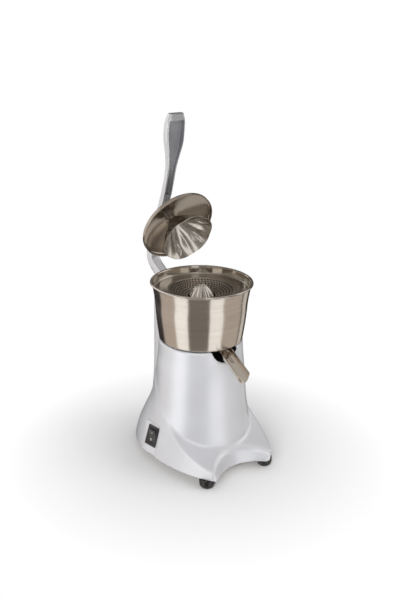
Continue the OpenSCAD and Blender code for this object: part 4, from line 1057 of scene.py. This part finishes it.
# Screens that only reflections see, in three tiers from the pit to the ceiling: where each ends in
# degrees round from the camera, the first of a tier beginning at -180, and its colour
LOW_SCREENS = [(-119, (0.035, 0.03, 0.03)), (-70, (0.58, 0.50, 0.43)), (-34, (1.3, 1.27, 1.22)),
               (22, (0.22, 0.19, 0.165)), (58, (1.25, 1.22, 1.17)), (117, (0.58, 0.51, 0.44)),
               (124, (0.15, 0.13, 0.12)), (144, (0.75, 0.70, 0.63)), (180, (0.05, 0.045, 0.04))]
MID_SCREENS = [(-142, (0.13, 0.115, 0.10)), (-70, (0.85, 0.8, 0.75)), (-34, (1.6, 1.58, 1.56)),
               (22, (0.3, 0.29, 0.28)), (62, (0.85, 0.83, 0.82)), (150, (0.12, 0.10, 0.09)),
               (180, (0.05, 0.045, 0.04))]
HIGH_SCREENS = [(-142, (0.13, 0.115, 0.10)), (-76, (0.95, 0.92, 0.88)), (-12, (0.45, 0.39, 0.34)),
                (8, (0.25, 0.22, 0.2)), (26, (1.2, 1.18, 1.15)), (84, (0.2, 0.175, 0.155)),
                (130, (1.0, 0.96, 0.92)), (180, (0.13, 0.115, 0.10))]
SCREEN_R, SCREEN_LEVELS, SCREEN_STEPS = 2.4, (-2.4, -0.6, 0.35, 2.6), 12
CEILING, PIT = (0.5, 0.47, 0.44), (0.6, 0.57, 0.53)
FLOOR_HALF, FLOOR_FADE, WORLD_LIGHT = 4000, (0.13, 0.33), 0.46
CAMERA_AZIMUTH, CAMERA_ELEVATION, CAMERA_ROLL = -36.36, 20.18, 0.97
CAMERA_DISTANCE, CAMERA_AIM_X, CAMERA_AIM_Z = 1.3352, -0.0016, 0.27772
SENSOR_W, LENS = 36, 72.39
# Place, aim, power and size of each lamp
LAMPS = {"key": ((-1.6, -1.3, 0.9), (0, 0, 0.2), 29, (1.2, 1.2)),
         "fill": ((1.2, -1.4, 0.8), (0, 0, 0.15), 12, (1.2, 1.2)),
         "top": ((0.1, 0.3, 2.2), (0, 0, 0.2), 3, (1.4, 1.4))}


def make_screens():
    faces = [(i, i + 1, SCREEN_STEPS + i + 1, SCREEN_STEPS + i) for i in range(SCREEN_STEPS - 1)]
    number = 0
    for low, high, tier in zip(SCREEN_LEVELS, SCREEN_LEVELS[1:],
                               (LOW_SCREENS, MID_SCREENS, HIGH_SCREENS)):
        start = -180
        for end, colour in tier:
            angles = np.radians(np.linspace(start, end, SCREEN_STEPS) + CAMERA_AZIMUTH - 90)
            points = [(SCREEN_R * math.cos(t), SCREEN_R * math.sin(t), h)
                      for h in (low, high) for t in angles]
            hang(f"screen_{number}", points, faces, colour)
            start, number = end, number + 1
    r = SCREEN_R
    for name, h, colour in (("ceiling", SCREEN_LEVELS[-1], CEILING),
                            ("pit", SCREEN_LEVELS[0], PIT)):
        hang(name, [(-r, -r, h), (r, -r, h), (r, r, h), (-r, r, h)], [(0, 1, 2, 3)], colour)


def hang(name, points, faces, colour):
    """A glowing sheet that only reflections see."""
    screen = solid(name, np.array(points) / MM, faces, glow_of(name, colour))
    for ray in ("camera", "diffuse", "transmission", "shadow"):
        setattr(screen, "visible_" + ray, False)


def make_floor():
    """A white floor that keeps the shadow near the object and turns plain white further off."""
    made, tree, shader = material("floor_white", {"Roughness": 0.9, "Specular IOR Level": 0.1})
    tint(tree, noise(tree, 3.0), (0.9, 0.9, 0.9), (0.92, 0.92, 0.92), shader.inputs["Base Color"])
    place = add(tree, "ShaderNodeTexCoord")
    far = add(tree, "ShaderNodeVectorMath", {0: place.outputs["Object"]}, operation="LENGTH")
    fade = add(tree, "ShaderNodeMapRange", {
        "Value": far.outputs["Value"], "From Min": FLOOR_FADE[0], "From Max": FLOOR_FADE[1]})
    glow = add(tree, "ShaderNodeEmission", {"Color": (1, 1, 1, 1)})
    mix = add(tree, "ShaderNodeMixShader", {
        "Fac": fade.outputs["Result"], 1: shader.outputs["BSDF"], 2: glow.outputs["Emission"]})
    tree.links.new(mix.outputs["Shader"], tree.nodes["Material Output"].inputs["Surface"])
    s = FLOOR_HALF
    floor = solid("floor", [(-s, -s, 0), (s, -s, 0), (s, s, 0), (-s, s, 0)], [(0, 1, 2, 3)], made)
    floor.visible_glossy = False


def make_world():
    """Soft white light, and plain white where the camera, a reflection or glass looks."""
    world = bpy.data.worlds.new("studio")
    bpy.context.scene.world = world
    world.use_nodes = True
    tree = world.node_tree
    soft = tree.nodes["Background"]
    soft.inputs["Color"].default_value = (1, 1, 1, 1)
    soft.inputs["Strength"].default_value = WORLD_LIGHT
    white = add(tree, "ShaderNodeBackground", {"Color": (1, 1, 1, 1), "Strength": 1.0})
    rays = add(tree, "ShaderNodeLightPath").outputs
    seen = rays["Is Camera Ray"]
    for ray in ("Is Glossy Ray", "Is Transmission Ray"):
        seen = add(tree, "ShaderNodeMath", {0: seen, 1: rays[ray]}, operation="MAXIMUM").outputs[0]
    mix = add(tree, "ShaderNodeMixShader", {"Fac": seen, 1: soft.outputs[0], 2: white.outputs[0]})
    tree.links.new(mix.outputs[0], tree.nodes["World Output"].inputs["Surface"])


def lamp(name, place, aim, power, size):
    """A rectangular lamp that reflections don't see."""
    data = bpy.data.lights.new(name, "AREA")
    data.energy = power
    data.shape = "RECTANGLE"
    data.size, data.size_y = size
    made = bpy.data.objects.new(name, data)
    made.location = place
    made.rotation_euler = (Vector(aim) - Vector(place)).to_track_quat("-Z", "Y").to_euler()
    made.visible_glossy = False
    bpy.context.scene.collection.objects.link(made)


def make_camera():
    a, e, roll = (math.radians(v) for v in (CAMERA_AZIMUTH, CAMERA_ELEVATION, CAMERA_ROLL))
    back = Vector((math.sin(a) * math.cos(e), -math.cos(a) * math.cos(e), math.sin(e)))
    right = Vector((math.cos(a), math.sin(a), 0))
    up = back.cross(right)
    across = math.cos(roll) * right + math.sin(roll) * up
    rise = math.cos(roll) * up - math.sin(roll) * right
    place = Vector((0, 0, CAMERA_AIM_Z)) + CAMERA_AIM_X * right + CAMERA_DISTANCE * back
    data = bpy.data.cameras.new("camera")
    data.sensor_fit = "HORIZONTAL"
    data.sensor_width = SENSOR_W
    data.lens = LENS
    made = bpy.data.objects.new("camera", data)
    made.matrix_world = Matrix((across, rise, back)).transposed().to_4x4()
    made.location = place
    bpy.context.scene.collection.objects.link(made)
    bpy.context.scene.camera = made


make_camera()
make_floor()
make_world()
make_screens()
for name, values in LAMPS.items():
    lamp(name, *values)
bpy.context.scene.view_settings.view_transform = "Standard"
